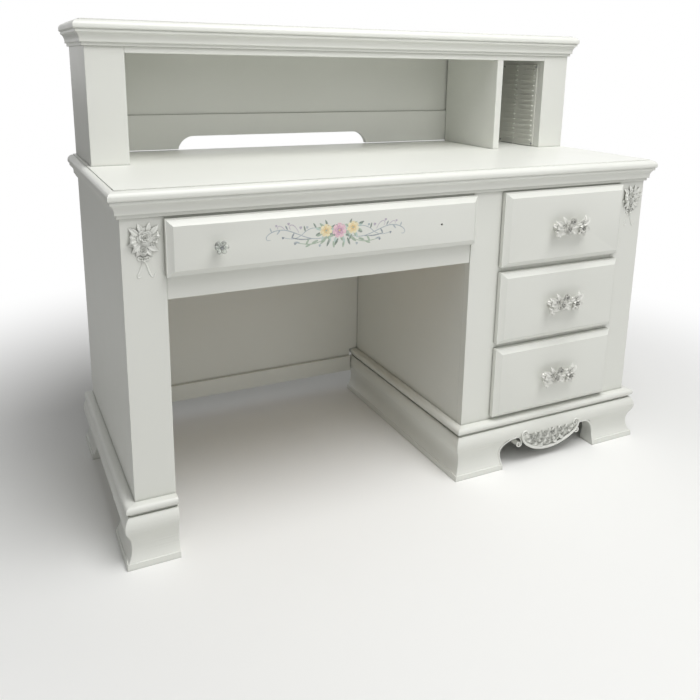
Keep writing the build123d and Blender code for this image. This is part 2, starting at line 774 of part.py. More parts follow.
with BuildPart() as divider:
    with BuildSketch(Plane.YZ.offset(divider_left)):
        with BuildLine():
            Polyline((hutch_front, desk_height), (hutch_inner_back, desk_height),
                     (hutch_inner_back, hutch_ceiling), (hutch_stile_back, hutch_ceiling),
                     (hutch_stile_back, hutch_rail_low), (hutch_front, hutch_rail_low), close=True)
        make_face()
    extrude(amount=divider_thick)
    fillet(divider.edges().filter_by(Axis.Z).group_by(Axis.Y)[0], divider_round)
finish(divider, "hutch_divider")

# Back rail with the cable cut-out, standing just clear of the desk top
rail_low = desk_height + rail_gap
rail_top = desk_height + back_rail_height
crown = desk_height + cable_cut_rise
with BuildPart() as back_rail:
    with BuildSketch(Plane.XZ.offset(-BACK)):
        with BuildLine():
            Polyline((cable_cut_left, rail_low), (LEFT + panel, rail_low), (LEFT + panel, rail_top),
                     (RIGHT - panel, rail_top), (RIGHT - panel, rail_low), (cable_cut_right, rail_low))
            for end, way in ((cable_cut_right, -1), (cable_cut_left, 1)):
                ThreePointArc((end, rail_low), (end + cable_cut_corner / 3 * way, crown - 10),
                              (end + cable_cut_corner * way, crown))
            Line((cable_cut_right - cable_cut_corner, crown), (cable_cut_left + cable_cut_corner, crown))
        make_face()
    extrude(amount=hutch_rail_thick)
finish(back_rail, "hutch_back_rail")
finish(slab(LEFT + panel, RIGHT - panel, BACK - hutch_back_thick, BACK, rail_top, hutch_ceiling),
       "hutch_back_panel")

# Disc racks on the two walls of the right bay: a thin plate with two columns of ribs.
# Each rib is a solid of its own, a glue line off its plate, so the grooves between them stay open.
rack_y0 = hutch_front + rack_setback
rack_low = desk_height + rack_lift
rack_height = (rack_rows - 1) * rack_pitch + rib_height
rack_walls = ((bay_right, -1), (divider_left + divider_thick, 1))
column_starts = (rack_y0 + rib_margin, rack_y0 + rack_length - rib_margin - rib_length)
rack_pieces = []
for wall, way in rack_walls:
    plate_face = wall + way * rack_plate
    rib_back = plate_face + way * glue_line
    rib_front = plate_face + way * rib_depth
    rack_pieces.append((min(wall, plate_face), max(wall, plate_face), rack_y0, rack_y0 + rack_length,
                        rack_low, rack_low + rack_height))
    for y in column_starts:
        for row in range(rack_rows):
            z = rack_low + row * rack_pitch
            rack_pieces.append((min(rib_back, rib_front), max(rib_back, rib_front), y, y + rib_length,
                                z, z + rib_height))
finish(boards(rack_pieces), "disc_racks")

with BuildPart() as rack_screws:
    for wall, way in rack_walls:
        plane = Plane(origin=(wall + way * rack_plate, 0, 0), x_dir=(0, 1, 0), z_dir=(way, 0, 0))
        places = [
            (y, z * way)
            for y in (rack_y0 + rack_screw_inset_y, rack_y0 + rack_length - rack_screw_inset_y)
            for z in (rack_low + rack_screw_inset_z, rack_low + rack_height - rack_screw_inset_z)
        ]
        disc(plane, places, rack_screw_radius, rack_screw_head)
finish(rack_screws, "rack_screws")
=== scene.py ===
import json
from functools import lru_cache
from math import cos, pi, radians, sin, tau

import bmesh
import bpy
from bpy.props import FloatProperty, FloatVectorProperty, PointerProperty
from mathutils import Euler, Matrix, Vector
from mathutils.bvhtree import BVHTree

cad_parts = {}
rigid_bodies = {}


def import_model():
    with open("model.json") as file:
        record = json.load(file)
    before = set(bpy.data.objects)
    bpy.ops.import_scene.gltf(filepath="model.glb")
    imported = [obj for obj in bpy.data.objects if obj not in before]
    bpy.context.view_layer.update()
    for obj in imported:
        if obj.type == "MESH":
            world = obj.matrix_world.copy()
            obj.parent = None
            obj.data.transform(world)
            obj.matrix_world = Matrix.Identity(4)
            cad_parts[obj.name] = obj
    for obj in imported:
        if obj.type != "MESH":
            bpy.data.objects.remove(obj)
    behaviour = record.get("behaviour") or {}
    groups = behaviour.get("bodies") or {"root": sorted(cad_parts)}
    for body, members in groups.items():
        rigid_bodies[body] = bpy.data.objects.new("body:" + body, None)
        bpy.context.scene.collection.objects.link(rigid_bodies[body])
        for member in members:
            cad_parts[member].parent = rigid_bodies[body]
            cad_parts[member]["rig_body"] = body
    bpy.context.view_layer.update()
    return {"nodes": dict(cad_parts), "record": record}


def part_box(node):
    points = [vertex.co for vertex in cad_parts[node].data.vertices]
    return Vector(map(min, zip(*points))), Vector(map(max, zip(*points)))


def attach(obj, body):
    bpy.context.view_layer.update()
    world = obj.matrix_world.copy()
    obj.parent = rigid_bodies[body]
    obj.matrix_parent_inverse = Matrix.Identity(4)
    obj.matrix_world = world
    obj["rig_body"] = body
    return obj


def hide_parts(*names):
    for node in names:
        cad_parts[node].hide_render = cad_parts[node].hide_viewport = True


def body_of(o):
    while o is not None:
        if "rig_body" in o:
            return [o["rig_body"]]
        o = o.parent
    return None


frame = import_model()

bl_info = {
    "name": "Ivory computer desk",
    "version": (1, 0, 0),
    "blender": (4, 5, 0),
    "location": "3D View > Sidebar > Desk",
    "description": "Dresses a desk with lacquered boards, rose pulls, carving and a painted spray",
    "category": "Object",
}

MM = 0.001

# Planes of the desk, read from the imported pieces
left_stile_low, left_stile_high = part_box("left_stile")
right_stile_low, right_stile_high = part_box("right_stile")
top_front_low, top_front_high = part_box("top_drawer_front")
centre_front_low, centre_front_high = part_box("centre_drawer_front")
knob_low, knob_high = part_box("knob")
FACE = left_stile_low.y
DRAWER_FACE = top_front_low.y
LEFT_MIDDLE = (left_stile_low.x + left_stile_high.x) / 2
RIGHT_MIDDLE = right_stile_high.x - (left_stile_high.x - left_stile_low.x) / 2
PEDESTAL_MIDDLE = (top_front_low.x + top_front_high.x) / 2


def linear(code):
    """Linear colour with full alpha, from an sRGB hex code."""
    channels = [int(code[i:i + 2], 16) / 255 for i in (1, 3, 5)]
    return tuple(c / 12.92 if c <= 0.04045 else ((c + 0.055) / 1.055) ** 2.4 for c in channels) + (1.0,)


def add_node(tree, kind, inputs=None, **settings):
    """Add one node, set its properties, and set or link its inputs."""
    node = tree.nodes.new(kind)
    for key, value in settings.items():
        setattr(node, key, value)
    for key, value in (inputs or {}).items():
        if isinstance(value, bpy.types.NodeSocket):
            tree.links.new(value, node.inputs[key])
        else:
            node.inputs[key].default_value = value
    return node


def blank_material(name):
    """New node material with only an output, and its tree."""
    material = bpy.data.materials.new(name)
    material.use_nodes = True
    material.node_tree.nodes.clear()
    return material, material.node_tree


def per_mm(size):
    """Scale of a pattern whose one repeat is that many millimetres."""
    return 1 / (size * MM)


def close_surface(tree, shader):
    """Link a shader to the surface of a new output."""
    add_node(tree, "ShaderNodeOutputMaterial", {"Surface": shader})


def ivory_satin_lacquer_sprayed(tree, finish):
    """Ivory nitrocellulose lacquer, sprayed and rubbed to a satin.

    The eye gets a warm white that is nearly even, soft wide highlights with a faint orange peel,
    and a grey painted shade in the corners, laid on where ambient occlusion finds them.
    """
    place = add_node(tree, "ShaderNodeTexCoord").outputs["Object"]
    drift = add_node(tree, "ShaderNodeTexNoise", {"Vector": place, "Scale": per_mm(260), "Detail": 3.0})
    shade = add_node(tree, "ShaderNodeMix", {
        "Factor": drift.outputs["Fac"], "A": (*finish.lacquer, 1.0), "B": (*finish.lacquer_thin, 1.0),
    }, data_type="RGBA")
    # Painted shade: grey mixed into the lacquer where ambient occlusion finds a tight corner
    corner = add_node(tree, "ShaderNodeAmbientOcclusion", {"Distance": 9 * MM}, samples=8)
    corner_shade_mask = add_node(tree, "ShaderNodeMapRange", {
        "Value": corner.outputs["AO"], "From Min": 0.2, "From Max": 0.8, "To Min": 0.85, "To Max": 0.0,
    })
    colour = add_node(tree, "ShaderNodeMix", {
        "Factor": corner_shade_mask.outputs["Result"], "A": shade.outputs["Result"], "B": (*finish.painted_corner_shade, 1.0),
    }, data_type="RGBA")
    peel = add_node(tree, "ShaderNodeTexNoise", {"Vector": place, "Scale": per_mm(3.5), "Detail": 2.0})
    bump = add_node(tree, "ShaderNodeBump", {
        "Height": peel.outputs["Fac"], "Strength": 0.12, "Distance": 0.2 * MM,
    })
    rub = add_node(tree, "ShaderNodeTexNoise", {"Vector": place, "Scale": per_mm(60), "Detail": 4.0})
    gloss = add_node(tree, "ShaderNodeMapRange", {
        "Value": rub.outputs["Fac"], "To Min": 0.3, "To Max": 0.44,
    })
    shader = add_node(tree, "ShaderNodeBsdfPrincipled", {
        "Base Color": colour.outputs["Result"], "Roughness": gloss.outputs["Result"],
        "Normal": bump.outputs["Normal"], "IOR": 1.5,
    })
    close_surface(tree, shader.outputs["BSDF"])


def carved_wood_ivory_painted_shade(tree, finish):
    """Carved wood under the same ivory lacquer, with painted shade in its hollows.

    The eye gets bright high points and grey-brown hollows, a painted shade laid on by ambient occlusion.
    """
    place = add_node(tree, "ShaderNodeTexCoord").outputs["Object"]
    # Painted shade: grey-brown mixed in where ambient occlusion finds a hollow of the carving
    hollow = add_node(tree, "ShaderNodeAmbientOcclusion", {"Distance": 2.6 * MM}, samples=8)
    painted_hollow_shade = add_node(tree, "ShaderNodeMapRange", {
        "Value": hollow.outputs["AO"], "From Min": 0.25, "From Max": 0.9, "To Min": 0.65, "To Max": 0.0,
    })
    colour = add_node(tree, "ShaderNodeMix", {
        "Factor": painted_hollow_shade.outputs["Result"], "A": (*finish.lacquer, 1.0), "B": (*finish.painted_hollow_shade, 1.0),
    }, data_type="RGBA")
    tool = add_node(tree, "ShaderNodeTexNoise", {"Vector": place, "Scale": per_mm(1.6), "Detail": 2.0})
    bump = add_node(tree, "ShaderNodeBump", {
        "Height": tool.outputs["Fac"], "Strength": 0.25, "Distance": 0.3 * MM,
    })
    shader = add_node(tree, "ShaderNodeBsdfPrincipled", {
        "Base Color": colour.outputs["Result"], "Normal": bump.outputs["Normal"],
        "Roughness": 0.38, "IOR": 1.5,
    })
    close_surface(tree, shader.outputs["BSDF"])


def sanded_rubberwood_sealed(tree, finish):
    """Sanded light hardwood under a clear sealer.

    The eye gets straight honey-coloured grain a few millimetres wide, with short dark pores, hardly shiny.
    """
    place = add_node(tree, "ShaderNodeTexCoord").outputs["Object"]
    along = add_node(tree, "ShaderNodeMapping", {"Vector": place, "Scale": (1.0, 0.06, 1.0)})
    ring = add_node(tree, "ShaderNodeTexNoise", {
        "Vector": along.outputs["Vector"], "Scale": per_mm(9), "Detail": 4.0, "Distortion": 0.6,
    })
    pore = add_node(tree, "ShaderNodeTexNoise", {
        "Vector": along.outputs["Vector"], "Scale": per_mm(0.9), "Detail": 1.0,
    })
    pore_dark = add_node(tree, "ShaderNodeMapRange", {
        "Value": pore.outputs["Fac"], "From Min": 0.62, "From Max": 0.75, "To Min": 0.0, "To Max": 0.5,
    })
    grain = add_node(tree, "ShaderNodeMix", {
        "Factor": ring.outputs["Fac"], "A": (*finish.wood, 1.0), "B": (*finish.wood_dark, 1.0),
    }, data_type="RGBA")
    colour = add_node(tree, "ShaderNodeMix", {
        "Factor": pore_dark.outputs["Result"], "A": grain.outputs["Result"], "B": linear("#7A5A3A"),
    }, data_type="RGBA")
    bump = add_node(tree, "ShaderNodeBump", {
        "Height": pore.outputs["Fac"], "Strength": 0.2, "Distance": 0.1 * MM,
    })
    shader = add_node(tree, "ShaderNodeBsdfPrincipled", {
        "Base Color": colour.outputs["Result"], "Normal": bump.outputs["Normal"],
        "Roughness": 0.5, "IOR": 1.5,
    })
    close_surface(tree, shader.outputs["BSDF"])


def cast_zinc_antique_silver(tree, finish):
    """Die-cast zinc alloy, plated antique silver and brushed with a white wash.

    The eye gets soft silver on the high points, chalky white on the slopes and near black hollows.
    """
    place = add_node(tree, "ShaderNodeTexCoord").outputs["Object"]
    hollow = add_node(tree, "ShaderNodeAmbientOcclusion", {"Distance": 2.2 * MM}, samples=8)
    dark = add_node(tree, "ShaderNodeMapRange", {
        "Value": hollow.outputs["AO"], "From Min": 0.2, "From Max": 0.85, "To Min": 0.85, "To Max": 0.0,
    })
    wash = add_node(tree, "ShaderNodeTexNoise", {"Vector": place, "Scale": per_mm(5), "Detail": 4.0})
    skin = add_node(tree, "ShaderNodeMix", {
        "Factor": wash.outputs["Fac"], "A": (*finish.zinc, 1.0), "B": (*finish.zinc_wash, 1.0),
    }, data_type="RGBA")
    colour = add_node(tree, "ShaderNodeMix", {
        "Factor": dark.outputs["Result"], "A": skin.outputs["Result"], "B": (*finish.zinc_hollow, 1.0),
    }, data_type="RGBA")
    pit = add_node(tree, "ShaderNodeTexNoise", {"Vector": place, "Scale": per_mm(0.8), "Detail": 2.0})
    bump = add_node(tree, "ShaderNodeBump", {
        "Height": pit.outputs["Fac"], "Strength": 0.2, "Distance": 0.1 * MM,
    })
    shader = add_node(tree, "ShaderNodeBsdfPrincipled", {
        "Base Color": colour.outputs["Result"], "Normal": bump.outputs["Normal"],
        "Metallic": 0.2, "Roughness": 0.46,
    })
    close_surface(tree, shader.outputs["BSDF"])


def steel_zinc_plated(tree, finish):
    """Zinc-plated steel screws, turned.

    The eye gets a small cold glint with faint turning marks.
    """
    place = add_node(tree, "ShaderNodeTexCoord").outputs["Object"]
    mark = add_node(tree, "ShaderNodeTexNoise", {"Vector": place, "Scale": per_mm(0.7), "Detail": 2.0})
    shade = add_node(tree, "ShaderNodeMix", {
        "Factor": mark.outputs["Fac"], "A": linear("#B9BBBD"), "B": linear("#8E9194"),
    }, data_type="RGBA")
    shader = add_node(tree, "ShaderNodeBsdfPrincipled", {
        "Base Color": shade.outputs["Result"], "Metallic": 1.0, "Roughness": 0.3,
    })
    close_surface(tree, shader.outputs["BSDF"])


def polystyrene_ivory_moulded(tree, finish):
    """Polystyrene, injection moulded in ivory.

    The eye gets an even, slightly waxy plastic with a fine mould texture.
    """
    place = add_node(tree, "ShaderNodeTexCoord").outputs["Object"]
    tone = add_node(tree, "ShaderNodeTexNoise", {"Vector": place, "Scale": per_mm(40), "Detail": 2.0})
    shade = add_node(tree, "ShaderNodeMix", {
        "Factor": tone.outputs["Fac"], "A": (*finish.plastic, 1.0), "B": (*finish.lacquer_thin, 1.0),
    }, data_type="RGBA")
    spark = add_node(tree, "ShaderNodeTexNoise", {"Vector": place, "Scale": per_mm(0.5), "Detail": 1.0})
    bump = add_node(tree, "ShaderNodeBump", {
        "Height": spark.outputs["Fac"], "Strength": 0.15, "Distance": 0.05 * MM,
    })
    shader = add_node(tree, "ShaderNodeBsdfPrincipled", {
        "Base Color": shade.outputs["Result"], "Normal": bump.outputs["Normal"],
        "Roughness": 0.42, "IOR": 1.55,
    })
    close_surface(tree, shader.outputs["BSDF"])


def pressed_glass_pearly(tree, finish):
    """Soda-lime glass, pressed and fire polished.

    The eye gets clear lobes with bright rims, milky with trapped haze, and a trace of green.
    """
    place = add_node(tree, "ShaderNodeTexCoord").outputs["Object"]
    haze = add_node(tree, "ShaderNodeTexNoise", {"Vector": place, "Scale": per_mm(6), "Detail": 2.0})
    rough = add_node(tree, "ShaderNodeMapRange", {
        "Value": haze.outputs["Fac"], "To Min": 0.05, "To Max": 0.2,
    })
    shade = add_node(tree, "ShaderNodeMix", {
        "Factor": haze.outputs["Fac"], "A": (*finish.glass, 1.0), "B": linear("#FBFCF8"),
    }, data_type="RGBA")
    shader = add_node(tree, "ShaderNodeBsdfPrincipled", {
        "Base Color": shade.outputs["Result"], "Roughness": rough.outputs["Result"], "IOR": 1.5,
        "Transmission Weight": 0.7,
    })
    close_surface(tree, shader.outputs["BSDF"])


def oil_colour_brushed(tree, finish):
    """Oil colour, laid on with a small brush under the last clear coat.

    The eye gets thin soft strokes, their colour broken where the ivory shows through.
    """
    place = add_node(tree, "ShaderNodeTexCoord").outputs["Object"]
    pigment = add_node(tree, "ShaderNodeAttribute", attribute_name="pigment", attribute_type="GEOMETRY")
    bristle = add_node(tree, "ShaderNodeTexNoise", {"Vector": place, "Scale": per_mm(2.2), "Detail": 3.0})
    cover = add_node(tree, "ShaderNodeMapRange", {
        "Value": bristle.outputs["Fac"], "From Min": 0.35, "From Max": 0.65, "To Min": 0.35, "To Max": 0.0,
    })
    shade = add_node(tree, "ShaderNodeMix", {
        "Factor": cover.outputs["Result"], "A": pigment.outputs["Color"], "B": (*finish.lacquer, 1.0),
    }, data_type="RGBA")
    shader = add_node(tree, "ShaderNodeBsdfPrincipled", {
        "Base Color": shade.outputs["Result"], "Roughness": 0.4, "IOR": 1.5,
    })
    close_surface(tree, shader.outputs["BSDF"])


SLOT_FINISH = {
    "lacquered_wood": ivory_satin_lacquer_sprayed,
    "painted_carving": carved_wood_ivory_painted_shade,
    "drawer_wood": sanded_rubberwood_sealed,
    "cast_zinc": cast_zinc_antique_silver,
    "knob_glass": pressed_glass_pearly,
    "steel": steel_zinc_plated,
    "rack_plastic": polystyrene_ivory_moulded,
}


def coat(maker):
    """Material that a maker builds: made once, and named for the maker."""
    name = maker.__name__
    if name in bpy.data.materials:
        return bpy.data.materials[name]
    material, tree = blank_material(name)
    maker(tree, bpy.context.scene.desk_finish)
    return material


NODE_SLOT = {row["node"]: row["material_slot"] for row in frame["record"]["subparts"]}


# Degrees past which an edge stays crisp
CRISP = 35


def finish_node(name):
    """Give a CAD node that stays in sight the finish of its slot."""
    node = frame["nodes"][name]
    node.data.materials.clear()
    node.data.materials.append(coat(SLOT_FINISH[NODE_SLOT[name]]))


def body_name(node):
    """Body that a CAD node rides on."""
    return body_of(frame["nodes"][node])[0]


def make_piece(name, bm, slot, body, sharp=CRISP, replaces=()):
    """Turn a bmesh into a finished piece that rides on a body and may stand for CAD nodes."""
    mesh = bpy.data.meshes.new(name)
    bm.to_mesh(mesh)
    bm.free()
    piece = bpy.data.objects.new(name, mesh)
    bpy.context.scene.collection.objects.link(piece)
    mesh.materials.append(coat(SLOT_FINISH[slot]))
    mesh.shade_smooth()
    mesh.set_sharp_from_angle(angle=radians(sharp))
    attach(piece, body)
    if replaces:
        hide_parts(*replaces)
    return piece


def merged(node):
    """Bmesh copy of a CAD node with its loose triangles joined and its flat faces made whole."""
    bm = bmesh.new()
    bm.from_mesh(frame["nodes"][node].data)
    bmesh.ops.remove_doubles(bm, verts=bm.verts, dist=0.01 * MM)
    bmesh.ops.dissolve_limit(bm, angle_limit=radians(0.2), verts=bm.verts, edges=bm.edges)
    return bm


def dress(node, ease):
    """Copy of a board in its slot's finish, its edges eased as by sandpaper; ease is in millimetres."""
    piece = make_piece(f"{node}_dressed", merged(node), NODE_SLOT[node], body_name(node), replaces=(node,))
    edge = piece.modifiers.new("eased_edges", "BEVEL")
    edge.width = ease * MM
    edge.segments = 2
    edge.limit_method = "ANGLE"
    edge.angle_limit = radians(CRISP)
    edge.harden_normals = True


def on_face(x, z, face):
    """Stands a relief that was made lying on its back on a face that looks forward."""
    return Matrix.Translation((x, face, z)) @ Matrix.Rotation(pi / 2, 4, "X")


def stamp(bm, form, matrix):
    """Add a copy of a form, put in place by a matrix."""
    copy = form.copy()
    copy.transform(matrix)
    bm.from_mesh(copy)
    bpy.data.meshes.remove(copy)


def set_down(x, y, height, turn, size, depth):
    """Place of a form in a relief: millimetres across the face, height above it, turned in degrees."""
    place = Matrix.Translation((x * MM, y * MM, height * MM))
    scale = Matrix.Diagonal((size * MM, size * MM, depth * MM, 1.0))
    return place @ Matrix.Rotation(radians(turn), 4, "Z") @ scale


def keep_form(name, bm):
    """Keep a bmesh as a form that is stamped many times, with its faces outward."""
    bmesh.ops.recalc_face_normals(bm, faces=bm.faces)
    form = bpy.data.meshes.new(name)
    bm.to_mesh(form)
    bm.free()
    return form


def shaped_sheet(bm, across, along, shape, thick):
    """Grid bent by a shape of (across, along) and given a thickness. Across runs -1 to 1, along 0 to 1."""
    corners = bmesh.ops.create_grid(bm, x_segments=across, y_segments=along, size=1)["verts"]
    faces = list({face for corner in corners for face in corner.link_faces})
    for corner in corners:
        corner.co = shape(corner.co.x, (corner.co.y + 1) / 2)
    bmesh.ops.recalc_face_normals(bm, faces=faces)
    bmesh.ops.solidify(bm, geom=faces, thickness=thick)


def rose_form():
    """Open rose of radius 1 and depth 1: four tiers of cupped petals round a wound bud."""
    tiers = (
        (5, 0.15, 1.00, 0.62, 0.00, 0.34, 0.16),
        (5, 0.12, 0.80, 0.62, 0.16, 0.46, 0.14),
        (4, 0.10, 0.60, 0.74, 0.34, 0.50, 0.10),
        (3, 0.08, 0.42, 0.95, 0.52, 0.40, 0.04),
    )
    bm = bmesh.new()
    for tier, (count, foot, reach, spread, rise, lift, curl) in enumerate(tiers):
        for i in range(count):
            turn = tau * i / count + tier * 0.55

            def petal(across, along):
                rim = 1 - 0.2 * across**2 * along
                out = foot + (reach - foot) * along * rim
                angle = turn + across * spread * (0.55 + 0.45 * sin(pi * along * 0.75))
                rolled = curl * max(0.0, along - 0.62) ** 2 / 0.144
                lap = 0.05 * across * along
                return (out * cos(angle), out * sin(angle), rise + lift * along**1.3 - rolled + lap)

            shaped_sheet(bm, 5, 6, petal, 0.045)

    def bud(across, along):
        angle = (across + 1) * tau * 1.05
        out = 0.07 + 0.10 * (across + 1) / 2 + 0.03 * along
        return (out * cos(angle), out * sin(angle), 0.55 + 0.42 * along - 0.06 * across)

    shaped_sheet(bm, 26, 3, bud, 0.03)
    bmesh.ops.create_cone(bm, cap_ends=True, segments=20, radius1=0.62, radius2=0.2, depth=0.6,
                          matrix=Matrix.Translation((0, 0, 0.3)))
    return keep_form("rose", bm)


def blossom_form():
    """Small flower of radius 1 and depth 1: five rounded petals round a button."""
    bm = bmesh.new()
    for i in range(5):
        turn = tau * i / 5

        def petal(across, along):
            out = 0.12 + 0.88 * along * (1 - 0.18 * across**2)
            angle = turn + across * 0.62 * (0.5 + 0.5 * sin(pi * along * 0.8))
            rolled = 0.5 * max(0.0, along - 0.7) ** 2
            return (out * cos(angle), out * sin(angle), 0.2 + 0.55 * along**1.5 - rolled)

        shaped_sheet(bm, 4, 4, petal, 0.09)
    bmesh.ops.create_icosphere(bm, subdivisions=2, radius=0.24,
                               matrix=Matrix.Translation((0, 0, 0.42)) @ Matrix.Diagonal((1, 1, 1.3, 1)))
    bmesh.ops.create_cone(bm, cap_ends=True, segments=12, radius1=0.4, radius2=0.2, depth=0.4,
                          matrix=Matrix.Translation((0, 0, 0.2)))
    return keep_form("blossom", bm)


def leaf_form():
    """Leaf of length 1 along X and depth 1: a sunk midrib, side veins and a scalloped edge."""
    bm = bmesh.new()

    def blade(across, along):
        half = 0.014 + 0.23 * sin(pi * along**0.8) ** 0.8 * (1 + 0.10 * sin(along * tau * 5) * abs(across))
        vein = 0.2 * half * cos(tau * 5 * (along - 0.18 * abs(across))) * abs(across)
        fold = 1.4 * half * abs(across) ** 0.7
        return (along, across * half, 0.35 + 0.4 * sin(pi * along) + fold + vein - 0.3 * along**3)

    shaped_sheet(bm, 8, 20, blade, 0.06)
    return keep_form("leaf", bm)


def curl_form():
    """Petal of length 1 along X whose tip rolls back over itself."""
    bm = bmesh.new()

    def blade(across, along):
        half = 0.26 * sin(pi * (0.12 + 0.8 * along)) ** 0.7
        wind = max(0.0, along - 0.45) * 7.5
        reach = 0.45 + 0.17 * sin(wind) if wind else along
        height = 0.3 + 0.25 * along + (0.45 * (1 - cos(wind)) if wind else 0.0)
        return (reach, across * half, height + 0.18 * across**2)

    shaped_sheet(bm, 6, 18, blade, 0.06)
    return keep_form("curl", bm)


def add_tube(bm, points, radii, flat=1.0, height=0.0, sides=3):
    """Closed round stem along a smooth line of millimetre points; flat squeezes it towards the face."""
    curve = bpy.data.curves.new("stem", "CURVE")
    curve.dimensions = "3D"
    curve.bevel_depth = MM
    curve.bevel_resolution = sides
    curve.use_fill_caps = True
    curve.resolution_u = 4
    line = curve.splines.new("NURBS")
    line.points.add(len(points) - 1)
    for knot, point, radius in zip(line.points, points, radii):
        knot.co = (point[0] * MM, point[1] * MM, (point[2] * MM if len(point) > 2 else 0.0), 1.0)
        knot.radius = radius
    line.order_u = 3
    line.use_endpoint_u = True
    holder = bpy.data.objects.new("stem", curve)
    form = bpy.data.meshes.new_from_object(holder)
    stamp(bm, form, Matrix.Translation((0, 0, height * MM)) @ Matrix.Diagonal((1, 1, flat, 1)))
    bpy.data.objects.remove(holder)
    bpy.data.curves.remove(curve)
    bpy.data.meshes.remove(form)


def spiral(x, y, radius, start, turns, steps=16):
    """Points of a scroll that winds inwards from a start angle in degrees; negative turns wind clockwise."""
    points = []
    heart = 0.12 * radius
    for i in range(steps + 1):
        share = i / steps
        reach = radius * (1 - share) ** 0.9 + heart * share
        angle = radians(start) + tau * turns * share
        points.append((x + reach * cos(angle), y + reach * sin(angle)))
    return points


def add_lathe(bm, outline, steps, matrix):
    """Turned form: an outline of (radius, height) in millimetres spun round its axis."""
    turned = bmesh.new()
    verts = [turned.verts.new((r * MM, 0, h * MM)) for r, h in outline]
    edges = [turned.edges.new(pair) for pair in zip(verts, verts[1:])]
    bmesh.ops.spin(turned, geom=verts + edges, axis=(0, 0, 1), angle=tau, steps=steps, use_merge=True)
    bmesh.ops.remove_doubles(turned, verts=turned.verts, dist=0.001 * MM)
    mesh = keep_form("turned", turned)
    stamp(bm, mesh, matrix)
    bpy.data.meshes.remove(mesh)


def form(kind):
    """The rose, blossom, leaf or curl, made once."""
    makers = {"rose": rose_form, "blossom": blossom_form, "leaf": leaf_form, "curl": curl_form}
    return bpy.data.meshes.get(kind) or makers[kind]()


def shade_property(name, description, code):
    """Colour that a user can change, with an sRGB hex code as its default."""
    return FloatVectorProperty(name=name, description=description, subtype="COLOR",
                               default=linear(code)[:3], min=0, max=1)


class DeskFinish(bpy.types.PropertyGroup):
    """Colours and edges of the desk"""
    lacquer: shade_property("Lacquer", "Ivory of the boards", "#E6E7E1")
    lacquer_thin: shade_property("Thin lacquer", "Slightly greyer ivory where the coat is thin", "#E0E1DA")
    # Grey of the painted shade that the lacquer gets in its corners
    painted_corner_shade: shade_property("Corners", "Grey of dust in tight corners", "#94968C")
    # Grey-brown of the painted shade in the hollows of the carving
    painted_hollow_shade: shade_property("Glaze", "Grey-brown glaze in the hollows of the carving", "#7F8078")
    wood: shade_property("Drawer wood", "Light wood of the drawer boxes", "#DCC49C")
    wood_dark: shade_property("Late wood", "Darker bands of the drawer wood", "#C4A479")
    zinc: shade_property("Zinc", "Antique silver of the pulls", "#CFCFC9")
    zinc_wash: shade_property("White wash", "Chalky wash on the pulls", "#E9E9E3")
    zinc_hollow: shade_property("Dark hollows", "Blackened hollows of the pulls", "#3C3C38")
    glass: shade_property("Glass", "Trace of green in the glass knob", "#EDF3EC")
    plastic: shade_property("Rack plastic", "Ivory plastic of the disc racks", "#E4E4DC")
    ease: FloatProperty(
        name="Eased edge", description="Width of the sanded edge of a board, in millimetres",
        default=0.9, min=0.1, max=3, precision=2)


BOARDS = (
    "left_end_panel", "left_inner_panel", "right_end_panel", "pedestal_inner_panel", "left_stile",
    "pedestal_left_stile", "right_stile", "pedestal_back", "pedestal_bottom", "top_rails", "kneehole_rail",
    "drawer_rails", "kneehole_back", "modesty_rail", "base_back_boards",
)
MOULDINGS = ("desk_top", "cornice", "base_bead")
BASES = (
    "left_base_front", "left_base_side", "pedestal_base_side", "pedestal_base_inner", "pedestal_base_front",
)
HUTCH = (
    "hutch_left_side", "hutch_right_side", "hutch_left_stile", "hutch_right_stile", "hutch_inner_walls",
    "hutch_top_rail", "hutch_top", "hutch_cornice", "hutch_divider", "hutch_back_rail", "hutch_back_panel",
)
DRAWERS = ("centre", "top", "middle", "bottom")


class DESK_OT_stage(bpy.types.Operator):
    """Make the floor, the light and the camera"""
    bl_idname = "desk.stage"
    bl_label = "Stage"

    def execute(self, context):
        make_world(context.scene)
        make_floor(context.scene)
        make_lamps(context.scene)
        make_camera(context.scene)
        context.scene.view_settings.view_transform = "Standard"
        return {"FINISHED"}


def make_world(scene):
    """White surroundings for the camera and for reflections, and a softer white for the object."""
    fill = 0.22  # brightness on the object, where 1 is white
    world = bpy.data.worlds.new("studio")
    world.use_nodes = True
    tree = world.node_tree
    tree.nodes.clear()
    path = add_node(tree, "ShaderNodeLightPath")
    seen = add_node(tree, "ShaderNodeMath", {
        0: path.outputs["Is Camera Ray"], 1: path.outputs["Is Glossy Ray"],
    }, operation="MAXIMUM")
    clear = add_node(tree, "ShaderNodeMath", {
        0: seen.outputs["Value"], 1: path.outputs["Is Transmission Ray"],
    }, operation="MAXIMUM")
    strength = add_node(tree, "ShaderNodeMapRange", {
        "Value": clear.outputs["Value"], "To Min": fill, "To Max": 1.0,
    })
    sky = add_node(tree, "ShaderNodeBackground", {
        "Color": (1, 1, 1, 1), "Strength": strength.outputs["Result"],
    })
    add_node(tree, "ShaderNodeOutputWorld", {"Surface": sky.outputs["Background"]})
    scene.world = world


